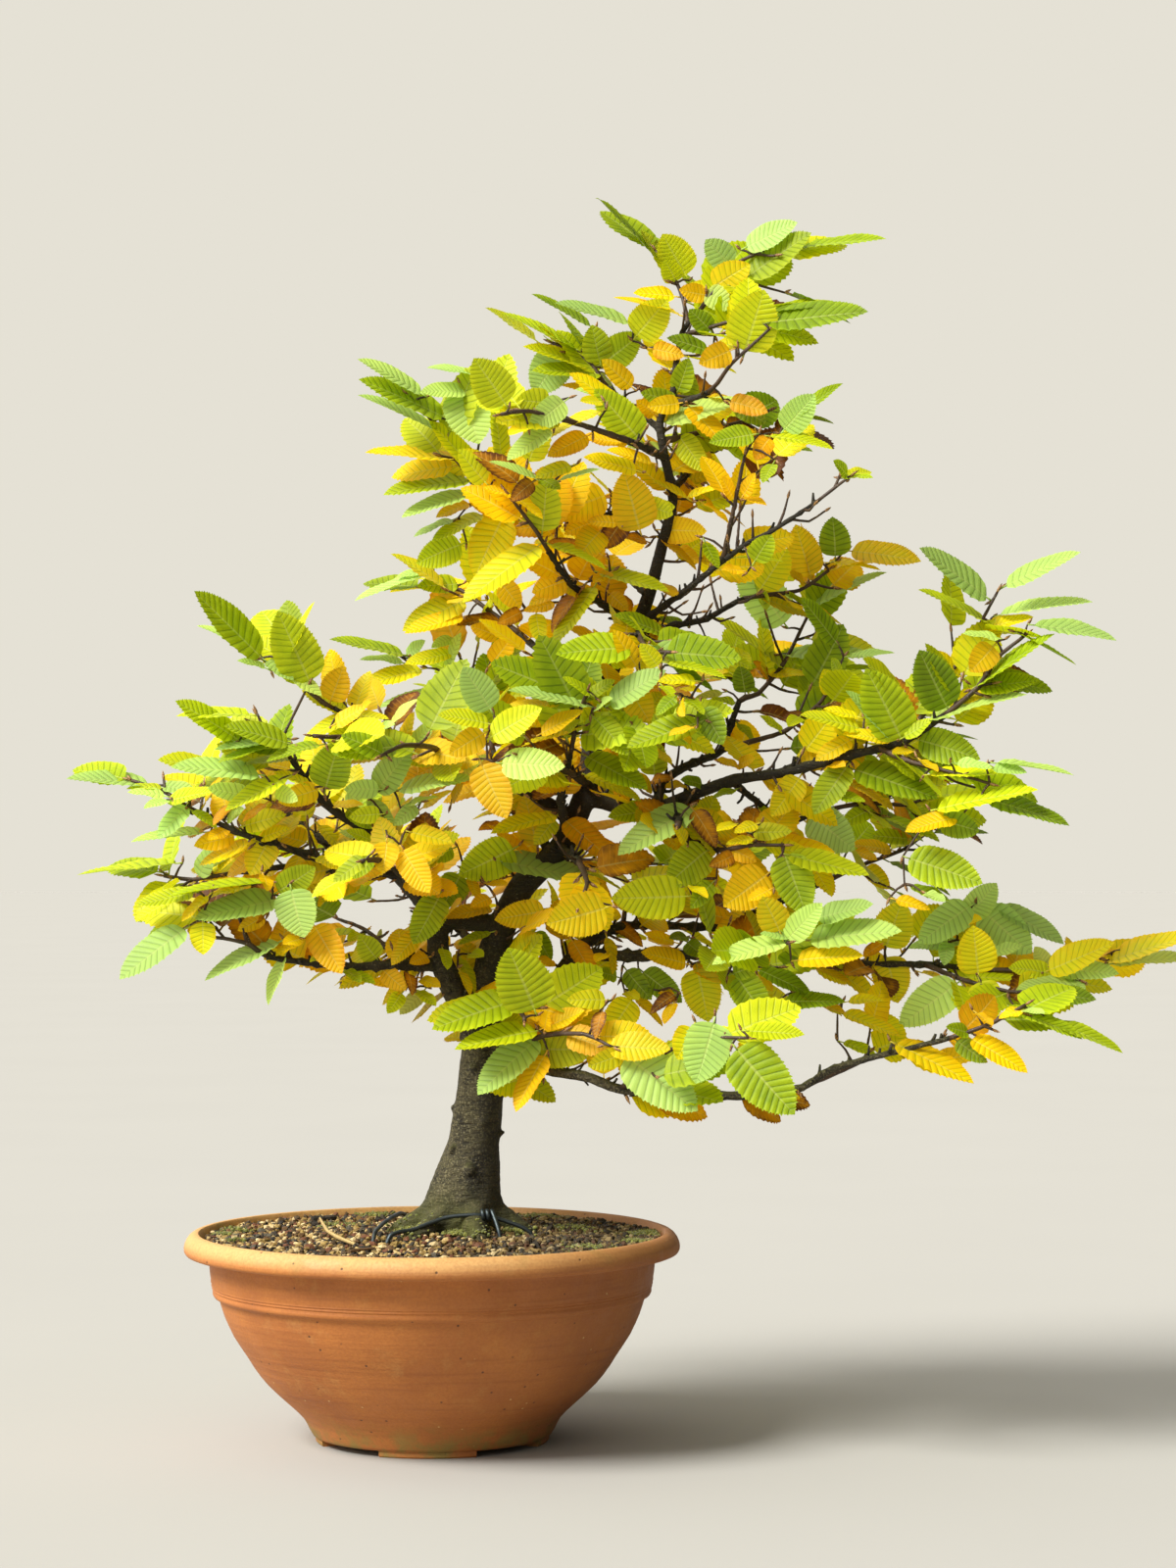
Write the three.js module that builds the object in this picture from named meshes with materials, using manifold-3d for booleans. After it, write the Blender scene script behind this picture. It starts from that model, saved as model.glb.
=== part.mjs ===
// A hornbeam bonsai in a round bowl pot.
// Millimetres, +Z up. The origin is the centre of the pot's foot, and the front of the tree looks along -Y.

import * as THREE from 'three';
import { mergeVertices } from 'three/addons/utils/BufferGeometryUtils.js';
import Module from 'manifold-3d';

const wasm = await Module();
wasm.setup();

// Sizes

const GAP = 0.3;

const POT_FACETS = 28;
const POT_FLOOR = 9.5;
const FOOT_RADIUS = 72.4;
const RECESS = 4;
// Radius and height, from the middle of the underside, up the outside and over the lip.
const POT_OUTSIDE = [
  [0, 0], [16, 0], [18, RECESS], [FOOT_RADIUS, RECESS], [74.8, 8], [78.4, 14.7],
  [93.3, 29], [106, 43], [120.5, 65], [129, 88], [133.5, 93],
  [136, 114], [149, 114], [150.4, 118], [146, 126], [141.5, 127],
];
// The same, from the floor of the pot up the inside.
const POT_INSIDE = [[68, POT_FLOOR], [80, 21.5], [107, 50], [125, 85], [137.5, 116]];
const PAD = { inner: 50, outer: 71, halfAngle: THREE.MathUtils.degToRad(24), count: 4 };
const DRAIN = { radius: 6, ring: 38, count: 4 };
const SCREEN = { radius: 56, thickness: 1 };

const SOIL_EDGE = 121;
const SOIL_MOUND = 8;
const SOIL_RINGS = [95, 48];

// Where the trunk stands, and the upright line that the crown's leaves turn away from.
const TRUNK_FOOT = [20, 0];
const CROWN_MIDDLE = [60, 0];
// Surface roots: compass angle in degrees, reach from the trunk's middle, radius at the trunk.
const ROOTS = [
  [182, 44, 9], [232, 50, 8], [284, 44, 9.5], [344, 42, 8], [80, 46, 9],
];

const WIRE_RADIUS = 1.3;
const WIRES = {
  anchor_wire_left: [
    [-17, 62, 108], [-18, 58, 128], [-22, 34, 133.5], [-29, -12, 132.5], [-33, -40, 129], [-35, -58, 108],
  ],
  anchor_wire_front: [
    [-30, -50, 108], [-23, -46, 128.5], [-9, -38, 131.5], [8, -31, 137.5], [28, -30, 139.5],
    [44, -28, 136], [60, -28, 128.5], [66, -28, 108],
  ],
};

// The stem from the soil to the top, and its radius at each point.
const LEADER = {
  path: [
    [20, 0, 90], [18, 0, 123], [20, 0, 150], [25, 0, 180], [29, 0, 211], [30, 2, 228],
    [32, 4, 252], [33, 8, 279], [41, 12, 309], [54, 15, 336], [78, 18, 360],
    [93, 20, 393], [98, 22, 426], [104, 18, 456], [114, 12, 480], [126, 5, 499],
    [133, 0, 518], [139, -5, 541], [146, -8, 570], [141, -10, 596], [138, -8, 618],
    [146, -5, 636], [148, 0, 654], [152, 5, 674], [163, 8, 688],
  ],
  radii: [
    16, 30, 23.5, 18, 14.6, 13.8, 12.3, 10.4, 9, 8.2,
    7.6, 7, 6.3, 5.6, 4.9, 4.4, 3.9, 3.5, 3.1, 2.7,
    2.4, 2.1, 1.9, 1.7, 1.5,
  ],
};

// Every branch: name, radius at both ends, how many of its points are old wood, leaf colour, number of leaves
// on the young end, number of side shoots, and its points from the joint outwards.
const BRANCHES = [
  ['left_limb', [9, 5], 7, 'wood', 0, 0, [
    [31, 3, 241], [22, 0, 258], [13, -4, 274], [4, -6, 294], [3, -6, 308],
    [-6, -8, 330], [-21, -14, 348],
  ]],
  ['bridge', [5.6, 5.2], 4, 'wood', 0, 0, [
    [44, 12, 311], [29, 6, 314], [12, -2, 315], [3, -6, 308],
  ]],
  ['right_limb', [5.8, 4.4], 5, 'wood', 0, 0, [
    [35, 4, 249], [53, 8, 255], [66, 12, 262], [79, 16, 285], [88, 18, 296],
  ]],
  ['left_1', [3.6, 1], 5, 'green', 4, 1, [
    [-20, -14, 346], [-28, -18, 361], [-41, -25, 371], [-63, -36, 386], [-82, -46, 412],
    [-88, -50, 423], [-104, -54, 433],
  ]],
  ['left_2', [3.2, 1], 5, 'green', 3, 0, [
    [-17, -12, 342], [-50, -2, 350], [-67, 8, 364], [-86, 18, 376], [-97, 24, 390],
    [-110, 30, 408], [-133, 34, 412],
  ]],
  ['left_3', [3.2, 0.9], 5, 'green', 4, 1, [
    [-18, -14, 345], [-51, -26, 348], [-85, -34, 359], [-116, -36, 369], [-147, -32, 385],
    [-161, -28, 394], [-180, -24, 400],
  ]],
  ['left_4', [2.8, 1], 4, 'green', 4, 0, [
    [-21, -12, 347], [-55, 8, 341], [-85, 20, 348], [-117, 28, 345], [-150, 34, 340],
    [-179, 38, 344],
  ]],
  ['low_left', [3.6, 1], 5, 'green', 4, 1, [
    [7, -6, 288], [-27, -22, 289], [-44, -30, 288], [-73, -42, 291], [-96, -50, 295],
    [-108, -54, 303], [-129, -58, 307],
  ]],
  ['low_left_back', [2.6, 1], 2, 'gold', 3, 0, [
    [-10, -12, 288], [-26, 22, 296], [-45, 50, 309], [-63, 70, 315],
  ]],
  ['left_back', [3.6, 1], 4, 'green', 3, 0, [
    [3, -6, 306], [-8, 30, 323], [-29, 70, 344], [-52, 100, 363], [-73, 120, 376],
    [-96, 135, 385],
  ]],
  ['left_front', [3, 1], 3, 'gold', 3, 0, [
    [-6, -8, 330], [-15, -45, 343], [-27, -80, 352], [-40, -105, 351], [-54, -125, 344],
  ]],
  ['up_1', [4.4, 1], 6, 'green', 4, 1, [
    [85, 19, 376], [68, 12, 388], [47, 0, 398], [12, -16, 413], [-21, -30, 427],
    [-57, -42, 442], [-73, -46, 454], [-84, -50, 463], [-91, -53, 475],
  ]],
  ['up_1_low', [2, 0.9], 0, 'green', 3, 0, [
    [-21, -30, 427], [-39, -50, 425], [-64, -66, 425], [-84, -76, 428],
  ]],
  ['up_1_front', [2.4, 1], 0, 'green', 3, 0, [
    [12, -16, 413], [2, -55, 419], [-13, -90, 419], [-29, -115, 410],
  ]],
  ['up_2', [3, 1], 4, 'green', 3, 0, [
    [73, 17, 355], [58, 34, 374], [47, 44, 384], [35, 62, 420], [31, 68, 437],
    [21, 74, 462], [14, 78, 479],
  ]],
  ['up_3', [2.8, 1], 3, 'green', 3, 0, [
    [82, 17, 367], [78, -16, 389], [84, -50, 415], [88, -66, 435], [94, -78, 451],
  ]],
  ['up_4', [2.8, 1], 4, 'gold', 3, 0, [
    [103, 18, 456], [84, 30, 469], [66, 44, 481], [52, 55, 493], [34, 64, 507],
    [14, 72, 522], [-9, 78, 524],
  ]],
  ['up_5', [2.6, 1], 4, 'gold', 3, 0, [
    [123, 6, 494], [105, -8, 506], [85, -26, 517], [71, -46, 536], [63, -56, 548],
    [48, -66, 567],
  ]],
  ['up_6', [2.6, 0.9], 4, 'green', 4, 1, [
    [144, -8, 563], [118, -14, 563], [94, -20, 557], [59, -28, 560], [35, -34, 567],
    [21, -38, 584], [7, -42, 608], [-12, -46, 628],
  ]],
  ['up_7', [2, 0.9], 3, 'green', 3, 0, [
    [140, -8, 612], [124, 6, 626], [106, 14, 642], [96, 20, 657], [76, 24, 669],
    [63, 28, 674],
  ]],
  ['up_9', [2.6, 1], 2, 'green', 4, 0, [
    [141, -10, 596], [118, -45, 602], [89, -75, 608], [60, -95, 613], [38, -110, 608],
  ]],
  ['low_right', [4, 1], 10, 'green', 4, 1, [
    [32, 2, 236], [47, -14, 237], [67, -30, 227], [94, -44, 223], [114, -50, 216],
    [161, -56, 213], [189, -58, 213], [221, -62, 218], [240, -68, 230], [306, -80, 248],
    [332, -86, 258], [353, -88, 270],
  ]],
  ['low_right_mid', [1.8, 0.9], 0, 'gold', 3, 0, [
    [221, -62, 218], [249, -50, 229], [276, -40, 240], [290, -34, 248],
  ]],
  ['low_right_front', [2, 0.9], 0, 'green', 3, 0, [
    [114, -50, 216], [132, -80, 235], [158, -100, 249], [187, -115, 250],
  ]],
  ['front_1', [2.8, 1], 0, 'green', 4, 0, [
    [35, 6, 258], [45, -30, 270], [57, -60, 259], [54, -78, 248],
  ]],
  ['front_2', [2.2, 0.9], 0, 'gold', 3, 0, [
    [47, -14, 237], [69, -48, 248], [92, -72, 250], [109, -85, 243],
  ]],
  ['right_2', [3.8, 1], 7, 'gold', 4, 1, [
    [87, 18, 295], [119, 24, 293], [172, 30, 294], [197, 30, 294], [252, 24, 288],
    [301, 16, 288], [340, 10, 285], [369, 4, 285], [395, -2, 292], [421, -8, 298],
  ]],
  ['right_2_low', [1.8, 0.9], 0, 'green', 3, 0, [
    [301, 16, 288], [323, -10, 279], [348, -26, 273], [364, -34, 274],
  ]],
  ['right_2_front', [2.4, 1], 0, 'green', 3, 0, [
    [172, 30, 294], [180, -20, 289], [193, -60, 298], [212, -85, 304],
  ]],
  ['right_3', [3.2, 1], 6, 'green', 3, 0, [
    [88, 18, 298], [107, 36, 308], [128, 50, 312], [172, 66, 310], [209, 76, 323],
    [242, 84, 337], [269, 90, 349], [294, 94, 358], [310, 96, 369],
  ]],
  ['right_4', [5, 1], 9, 'green', 4, 1, [
    [93, 20, 392], [112, 10, 385], [130, 0, 380], [146, -8, 387], [181, -24, 400],
    [214, -34, 405], [247, -42, 414], [281, -48, 422], [306, -52, 438], [326, -54, 455],
    [337, -55, 472], [353, -56, 485],
  ]],
  ['right_4_low', [2, 0.9], 0, 'green', 3, 0, [
    [267, -45, 419], [285, -64, 410], [310, -76, 403], [329, -84, 397],
  ]],
  ['right_4_top', [2, 0.9], 0, 'green', 4, 0, [
    [281, -48, 422], [303, -34, 450], [324, -34, 484], [339, -36, 512],
  ]],
  ['right_5', [2.2, 1], 4, 'green', 3, 0, [
    [180, -24, 400], [195, -8, 389], [216, 6, 375], [237, 14, 382], [265, 20, 387],
    [291, 24, 386], [306, 26, 392],
  ]],
  ['right_6', [2.2, 1], 3, 'gold', 3, 0, [
    [137, -4, 383], [155, -28, 364], [172, -44, 358], [192, -58, 361], [210, -66, 361],
  ]],
  ['right_7', [3.2, 1], 5, 'green', 4, 1, [
    [135, -2, 383], [142, 16, 402], [160, 30, 412], [177, 42, 420], [189, 54, 451],
    [201, 58, 456], [217, 64, 475], [233, 70, 506],
  ]],
  ['right_7_low', [2, 1], 0, 'green', 3, 0, [
    [177, 42, 420], [199, 28, 426], [217, 18, 432], [237, 8, 449], [245, 4, 464],
  ]],
  ['right_8', [2.4, 1], 4, 'gold', 3, 0, [
    [119, 9, 488], [149, 18, 496], [168, 28, 501], [191, 40, 514], [226, 50, 520],
    [245, 56, 533],
  ]],
  ['right_9', [2.2, 0.9], 5, 'sprout', 2, 0, [
    [123, 7, 494], [158, -26, 518], [187, -50, 539], [204, -60, 547], [229, -70, 563],
    [241, -74, 572], [248, -76, 577],
  ]],
  ['right_10', [1.8, 0.9], 0, 'gold', 3, 0, [
    [175, -39, 530], [180, -54, 556], [184, -60, 577], [187, -62, 591],
  ]],
  ['right_11', [2, 0.9], 2, 'green', 3, 0, [
    [142, -6, 627], [167, -28, 633], [180, -42, 648], [193, -50, 659], [202, -54, 667],
  ]],
  ['right_12', [2.2, 0.9], 0, 'green', 3, 0, [
    [140, -9, 606], [166, 12, 614], [191, 22, 622], [206, 28, 629],
  ]],
  ['top_1', [1.5, 0.9], 0, 'green', 4, 1, [
    [163, 8, 688], [175, 8, 704], [186, 8, 717], [212, 5, 728],
  ]],
  ['top_2', [1.5, 0.9], 0, 'green', 4, 0, [
    [156, 6, 678], [152, 18, 699], [144, 22, 717], [136, 24, 727],
  ]],
  ['top_3', [1.6, 0.9], 0, 'green', 3, 0, [
    [152, 5, 672], [176, -16, 676], [197, -28, 680],
  ]],
  ['back_1', [4, 1], 3, 'green', 3, 0, [
    [35, 8, 279], [21, 60, 301], [0, 110, 319], [-14, 140, 330], [-34, 165, 337],
  ]],
  ['back_2', [4, 1], 3, 'green', 3, 0, [
    [61, 16, 343], [88, 70, 349], [120, 115, 350], [152, 145, 350], [178, 165, 347],
  ]],
  ['back_3', [3.6, 1], 3, 'green', 3, 0, [
    [93, 20, 393], [76, 70, 418], [57, 110, 438], [37, 135, 452], [18, 155, 456],
  ]],
  ['back_4', [3.4, 1], 3, 'green', 3, 0, [
    [102, 19, 447], [125, 65, 461], [151, 100, 469], [177, 125, 477], [199, 140, 483],
  ]],
  ['back_5', [2.8, 1], 3, 'gold', 3, 0, [
    [131, 0, 514], [113, 45, 533], [94, 80, 549], [79, 100, 560], [63, 118, 565],
  ]],
  ['back_6', [2.4, 1], 3, 'green', 3, 0, [
    [145, -8, 576], [161, 35, 596], [174, 60, 611], [184, 78, 623], [191, 90, 630],
  ]],
  ['back_7', [3, 1], 2, 'green', 3, 0, [
    [214, -34, 405], [239, 20, 420], [266, 60, 433], [296, 85, 444],
  ]],
  ['front_3', [3, 1], 2, 'gold', 3, 0, [
    [78, 18, 360], [89, -40, 351], [94, -85, 339], [89, -110, 325],
  ]],
  ['front_4', [3, 1], 2, 'green', 3, 0, [
    [93, 20, 399], [86, -40, 403], [69, -85, 409], [54, -110, 413],
  ]],
  ['front_5', [2.8, 1], 2, 'green', 3, 0, [
    [99, 20, 438], [118, -40, 433], [132, -80, 430], [145, -110, 435],
  ]],
  ['front_6', [2.6, 1], 2, 'green', 3, 0, [
    [126, 5, 499], [125, -50, 485], [131, -90, 474], [145, -110, 472],
  ]],
  ['front_7', [3, 1], 2, 'green', 3, 0, [
    [146, -8, 387], [148, -60, 374], [141, -100, 361], [129, -125, 345],
  ]],
];

// Facets round each stem.
const SIDES = { leader: 8, root: 5, thickLimb: 6, limb: 5, thinLimb: 4, twig: 4, shoot: 3, wire: 6 };
const THICK_LIMB = 4.5;
const THIN_LIMB = 3.3;

// Leaves: the blade's length is drawn between two sizes, and its width is a share of it.
const LEAF = { short: 34, long: 50, width: 0.6, petiole: 5, thickness: 0.7, fold: 0.2, spacing: 17 };
// How large the leaves of each colour grow: the inner, turning ones stay smaller, and a late sprout's are tiny.
const LEAF_GROWTH = { green: 1, gold: 0.88, sprout: 0.42 };
// Half of a blade's outline, from the petiole towards the tip: share of the length, share of the half width.
const LEAF_EDGE = [[0.28, 1], [0.4, 0.8], [0.68, 0.74]];
const LEAF_TRIES = 6;
const SHOOT = { short: 26, long: 38, radius: 0.85, tip: 0.7 };

const COLOURS = {
  terracotta: 0xad6d3f,
  screen: 0x2b2d2e,
  soil: 0x6e5a42,
  bark: 0x6b6150,
  wire: 0x23262c,
  green: 0x8fae2e,
  gold: 0xd9a520,
  sprout: 0x6f9a2c,
};

// Small helpers

const vec = (p) => new THREE.Vector3(...p);
const mix = (a, b, t) => a + (b - a) * t;

// A seeded draw of numbers from 0 to 1.
function seeded(seed) {
  let state = seed >>> 0;
  return () => {
    state = (state + 0x6d2b79f5) >>> 0;
    let t = Math.imul(state ^ (state >>> 15), state | 1);
    t ^= t + Math.imul(t ^ (t >>> 7), t | 61);
    return ((t ^ (t >>> 14)) >>> 0) / 4294967296;
  };
}

// Points and triangles as one closed solid.
function faceted(points, faces) {
  const geometry = new THREE.BufferGeometry();
  geometry.setAttribute('position', new THREE.Float32BufferAttribute(points.flatMap((p) => [p.x, p.y, p.z]), 3));
  geometry.setIndex(faces.flat());
  return solid(geometry);
}

function solid(geometry) {
  const bare = geometry.clone();
  bare.deleteAttribute('normal');
  bare.deleteAttribute('uv');
  const merged = mergeVertices(bare, 1e-4);
  return new wasm.Manifold(new wasm.Mesh({
    numProp: 3,
    vertProperties: merged.attributes.position.array,
    triVerts: new Uint32Array(merged.index.array),
  }));
}

function geometryOf(made) {
  const mesh = made.getMesh();
  const geometry = new THREE.BufferGeometry();
  geometry.setAttribute('position', new THREE.Float32BufferAttribute(mesh.vertProperties, mesh.numProp));
  geometry.setIndex(Array.from(mesh.triVerts));
  return geometry;
}

// Several solids as one.
const join = (solids) => solids.reduce((whole, next) => whole.add(next));

// The largest body of a solid, so that no loose scrap stays.
function largest(made) {
  return made.decompose().reduce((best, next) => (next.volume() > best.volume() ? next : best));
}

// Stems

// Rings of points round a path. The frame is carried along the path so that it doesn't twist.
function rings(path, radii, sides) {
  const points = path.map(vec);
  const tangents = points.map((p, i) => {
    const before = points[Math.max(i - 1, 0)];
    const after = points[Math.min(i + 1, points.length - 1)];
    return after.clone().sub(before).normalize();
  });
  let side = new THREE.Vector3(0, 0, 1).cross(tangents[0]);
  if (side.length() < 0.2) side = new THREE.Vector3(1, 0, 0);
  return points.map((point, i) => {
    side.addScaledVector(tangents[i], -side.dot(tangents[i])).normalize();
    const up = tangents[i].clone().cross(side);
    const ring = [];
    for (let k = 0; k < sides; k += 1) {
      const angle = (2 * Math.PI * (k + 0.5)) / sides;
      ring.push(point.clone()
        .addScaledVector(side, radii[i] * Math.cos(angle))
        .addScaledVector(up, radii[i] * Math.sin(angle)));
    }
    return { point, tangent: tangents[i], ring };
  });
}

// A closed stem from the rings, with flat ends.
function stemOf(hoops) {
  const sides = hoops[0].ring.length;
  const points = hoops.flatMap((hoop) => hoop.ring);
  const faces = [];
  for (let i = 0; i + 1 < hoops.length; i += 1) {
    for (let k = 0; k < sides; k += 1) {
      const a = i * sides + k;
      const b = i * sides + ((k + 1) % sides);
      faces.push([a, b, b + sides], [a, b + sides, a + sides]);
    }
  }
  const last = points.length - sides;
  for (let k = 1; k + 1 < sides; k += 1) {
    faces.push([0, k + 1, k], [last, last + k, last + k + 1]);
  }
  return faceted(points, faces);
}

// The same stem, a gap thicker and a gap longer at both ends.
function guardOf(path, radii, sides, gap, count = path.length) {
  const wide = rings(path, radii.map((r) => r + gap), sides).slice(0, count);
  const end = wide[wide.length - 1];
  end.ring.forEach((p) => p.addScaledVector(end.tangent, gap));
  wide[0].ring.forEach((p) => p.addScaledVector(wide[0].tangent, -gap));
  return stemOf(wide);
}

// Lengths along a path from its start to each point.
function lengthsOf(path) {
  const sums = [0];
  for (let i = 1; i < path.length; i += 1) {
    sums.push(sums[i - 1] + vec(path[i]).distanceTo(vec(path[i - 1])));
  }
  return sums;
}

function taper(path, thick, thin) {
  const sums = lengthsOf(path);
  return sums.map((s) => mix(thick, thin, s / sums[sums.length - 1]));
}

// The point and direction at a length along a path.
function along(path, s) {
  const sums = lengthsOf(path);
  let i = 1;
  while (i + 1 < path.length && sums[i] < s) i += 1;
  const a = vec(path[i - 1]);
  const b = vec(path[i]);
  return {
    point: a.clone().lerp(b, (s - sums[i - 1]) / (sums[i] - sums[i - 1])),
    tangent: b.sub(a).normalize(),
  };
}

// Leaves

// How a leaf or a shoot sets off from a twig: to one side, tilted to the light outside the crown.
function settingOff(twig, side, spread, random) {
  const outward = twig.point.clone().sub(new THREE.Vector3(...CROWN_MIDDLE, twig.point.z)).normalize();
  const face = new THREE.Vector3(0, -0.4, 0.6).addScaledVector(outward, 0.5);
  face.x += mix(-0.35, 0.35, random());
  face.y += mix(-0.35, 0.35, random());
  face.normalize();
  const across = twig.tangent.clone().cross(face).normalize();
  const turn = side * mix(0.75, 1.15, random()) * spread;
  const axis = twig.tangent.clone().multiplyScalar(Math.cos(turn)).addScaledVector(across, Math.sin(turn));
  axis.z += mix(-0.5, 0.1, random());
  axis.normalize();
  face.addScaledVector(axis, -face.dot(axis)).normalize();
  return { axis, face };
}

// One leaf blade on its petiole, folded a little along the midrib, with coarse teeth.
// Both faces are split alike. The root end lies inside the twig.
function leaf(place, length, grow) {
  const { base, axis, face } = place;
  const across = face.clone().cross(axis);
  const half = (length * LEAF.width) / 2;
  const stalk = 0.5 + grow;
  const rows = [[-0.2, stalk], [LEAF.petiole, stalk]];
  LEAF_EDGE.forEach(([u, v]) => rows.push([LEAF.petiole + u * length, v * half + grow]));
  const rise = LEAF.thickness / 2 + grow;
  const points = [];
  [rise, -rise].forEach((lift) => {
    const at = (u, v) => base.clone()
      .addScaledVector(axis, u)
      .addScaledVector(across, v)
      .addScaledVector(face, LEAF.fold * Math.abs(v) + lift);
    rows.forEach(([u, v]) => points.push(at(u, v), at(u, -v)));
    points.push(at(LEAF.petiole + length + grow, 0));
  });
  const tip = 2 * rows.length;
  const count = tip + 1;
  const top = [[0, 1, 3], [0, 3, 2], [2, 3, tip]];
  const left = [...rows.keys()].slice(2).map((i) => 2 * i).concat(tip);
  const right = [...rows.keys()].slice(2).map((i) => 2 * i + 1).concat(tip);
  for (let i = 0; i + 1 < left.length; i += 1) {
    top.push([2, left[i + 1], left[i]], [3, right[i], right[i + 1]]);
  }
  const faces = [];
  top.forEach(([a, b, c]) => {
    faces.push([a, b, c], [count + a, count + c, count + b]);
  });
  const rim = [0, 1, 3, ...right, ...left.slice(0, -1).reverse(), 2];
  rim.forEach((a, i) => {
    const b = rim[(i + 1) % rim.length];
    faces.push([a, count + a, count + b], [a, count + b, b]);
  });
  return faceted(points, faces);
}

// Pot, screen, soil and wires

function lathe(profile, facets) {
  return new THREE.LatheGeometry(profile.map(([r, z]) => new THREE.Vector2(r, z)), facets).rotateX(Math.PI / 2);
}

function roundBar(radius, z0, z1, x, y) {
  const bar = new THREE.CylinderGeometry(radius, radius, z1 - z0, 6).rotateX(Math.PI / 2);
  return solid(bar.translate(x, y, (z0 + z1) / 2));
}

// A foot pad: a sector of a ring that reaches down to the ground.
function footPad(middle) {
  const shape = new THREE.Shape();
  shape.absarc(0, 0, PAD.outer, middle - PAD.halfAngle, middle + PAD.halfAngle, false);
  shape.absarc(0, 0, PAD.inner, middle + PAD.halfAngle, middle - PAD.halfAngle, true);
  return solid(new THREE.ExtrudeGeometry(shape, { depth: RECESS + 1, bevelEnabled: false, curveSegments: 2 }));
}

function makePot() {
  const profile = [...POT_OUTSIDE, ...POT_INSIDE.toReversed(), [0, POT_FLOOR]];
  let pot = solid(lathe(profile, POT_FACETS));
  for (let i = 0; i < PAD.count; i += 1) {
    const turn = (2 * Math.PI * i) / PAD.count;
    pot = pot.add(footPad(turn));
  }
  for (let i = 0; i < DRAIN.count; i += 1) {
    const turn = (2 * Math.PI * (i + 0.5)) / DRAIN.count;
    const x = DRAIN.ring * Math.cos(turn);
    const y = DRAIN.ring * Math.sin(turn);
    pot = pot.subtract(roundBar(DRAIN.radius, -1, POT_FLOOR + 1, x, y));
  }
  return pot;
}

// Height of the soil: a low mound round the trunk and small waves.
function soilTop(x, y) {
  const far = Math.hypot(x - TRUNK_FOOT[0], y - TRUNK_FOOT[1]);
  const waves = Math.sin(x * 0.11 + 1) * Math.cos(y * 0.13) + 0.6 * Math.sin(x * 0.05 - y * 0.09);
  return SOIL_EDGE + 1 + SOIL_MOUND * Math.exp(-((far / 62) ** 2)) + 0.8 * waves;
}

function makeSoil(cuts) {
  const over = POT_FLOOR + GAP;
  const profile = [[0, over + SCREEN.thickness + GAP], [SCREEN.radius + 1, over + SCREEN.thickness + GAP]];
  profile.push([SCREEN.radius + 1, over]);
  POT_INSIDE.forEach(([r, z]) => profile.push([r - 0.5, z + GAP]));
  profile.push([138.8, SOIL_EDGE]);
  const edge = profile.length;
  SOIL_RINGS.forEach((r) => profile.push([r, SOIL_EDGE]));
  profile.push([0, SOIL_EDGE]);
  const geometry = lathe(profile, POT_FACETS);
  const spot = geometry.getAttribute('position');
  for (let i = 0; i < spot.count; i += 1) {
    if (i % profile.length >= edge) spot.setZ(i, soilTop(spot.getX(i), spot.getY(i)));
  }
  return largest(cuts.reduce((soil, cut) => soil.subtract(cut), solid(geometry)));
}

// Wood

function limbSides(radius) {
  if (radius > THICK_LIMB) return SIDES.thickLimb;
  return radius > THIN_LIMB ? SIDES.limb : SIDES.thinLimb;
}

function rootPath([compass, reach]) {
  const turn = (compass * Math.PI) / 180;
  const out = (far, z) => [TRUNK_FOOT[0] + far * Math.cos(turn), TRUNK_FOOT[1] + far * Math.sin(turn), z];
  return [out(4, 147), out(22, 130), out(reach, 119), out(reach + 8, 108)];
}

const woods = [{ path: LEADER.path, radii: LEADER.radii, sides: SIDES.leader }];
ROOTS.forEach((root) => {
  const radii = [root[2], root[2] * 0.95, root[2] * 0.55, 2.5];
  woods.push({ path: rootPath(root), radii, sides: SIDES.root });
});
const twigs = [];
BRANCHES.forEach(([name, [thick, thin], woody, hue, leaves, shoots, path], index) => {
  const radii = taper(path, thick, thin);
  if (woody > 0) {
    woods.push({ path, radii, sides: limbSides(thick), count: woody });
  }
  if (leaves > 0) {
    // The young end starts a gap past the old wood, in line with it.
    const from = Math.max(woody - 1, 0);
    const hoops = rings(path, radii, SIDES.twig).slice(from);
    if (woody > 0) hoops[0].ring.forEach((p) => p.addScaledVector(hoops[0].tangent, GAP));
    twigs.push({ name, index, hue, leaves, shoots, path: path.slice(from), stem: stemOf(hoops) });
  }
});
const guards = woods.map(({ path, radii, sides, count }) => guardOf(path, radii, sides, GAP, count));
const wireRadii = (path) => path.map(() => WIRE_RADIUS);
const wireGuards = Object.values(WIRES).map((path) => guardOf(path, wireRadii(path), SIDES.wire, GAP));
const limbs = woods.map(({ path, radii, sides, count }) => stemOf(rings(path, radii, sides).slice(0, count)));
const trunk = largest(wireGuards.reduce((wood, guard) => wood.subtract(guard), join(limbs)));

// Sprays

// Everything that a new leaf has to stay clear of, each with its box.
const taken = [];
function take(made, owner) {
  taken.push({ made, owner, box: made.boundingBox() });
}
function isClear(guard, owner) {
  const box = guard.boundingBox();
  return taken.every((other) => {
    if (other.owner === owner) return true;
    for (let k = 0; k < 3; k += 1) {
      if (box.min[k] > other.box.max[k] || box.max[k] < other.box.min[k]) return true;
    }
    return other.made.intersect(guard).isEmpty();
  });
}
guards.forEach((guard) => take(guard, 'wood'));
twigs.forEach((twig) => {
  take(twig.stem, `${twig.name} stem`);
});

// The first of a few tries that stays clear of everything else, or nothing.
function firstClear(make, owner) {
  for (let attempt = 0; attempt < LEAF_TRIES; attempt += 1) {
    const made = make(attempt);
    if (isClear(made.guard, owner)) return made;
  }
  return null;
}

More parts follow.
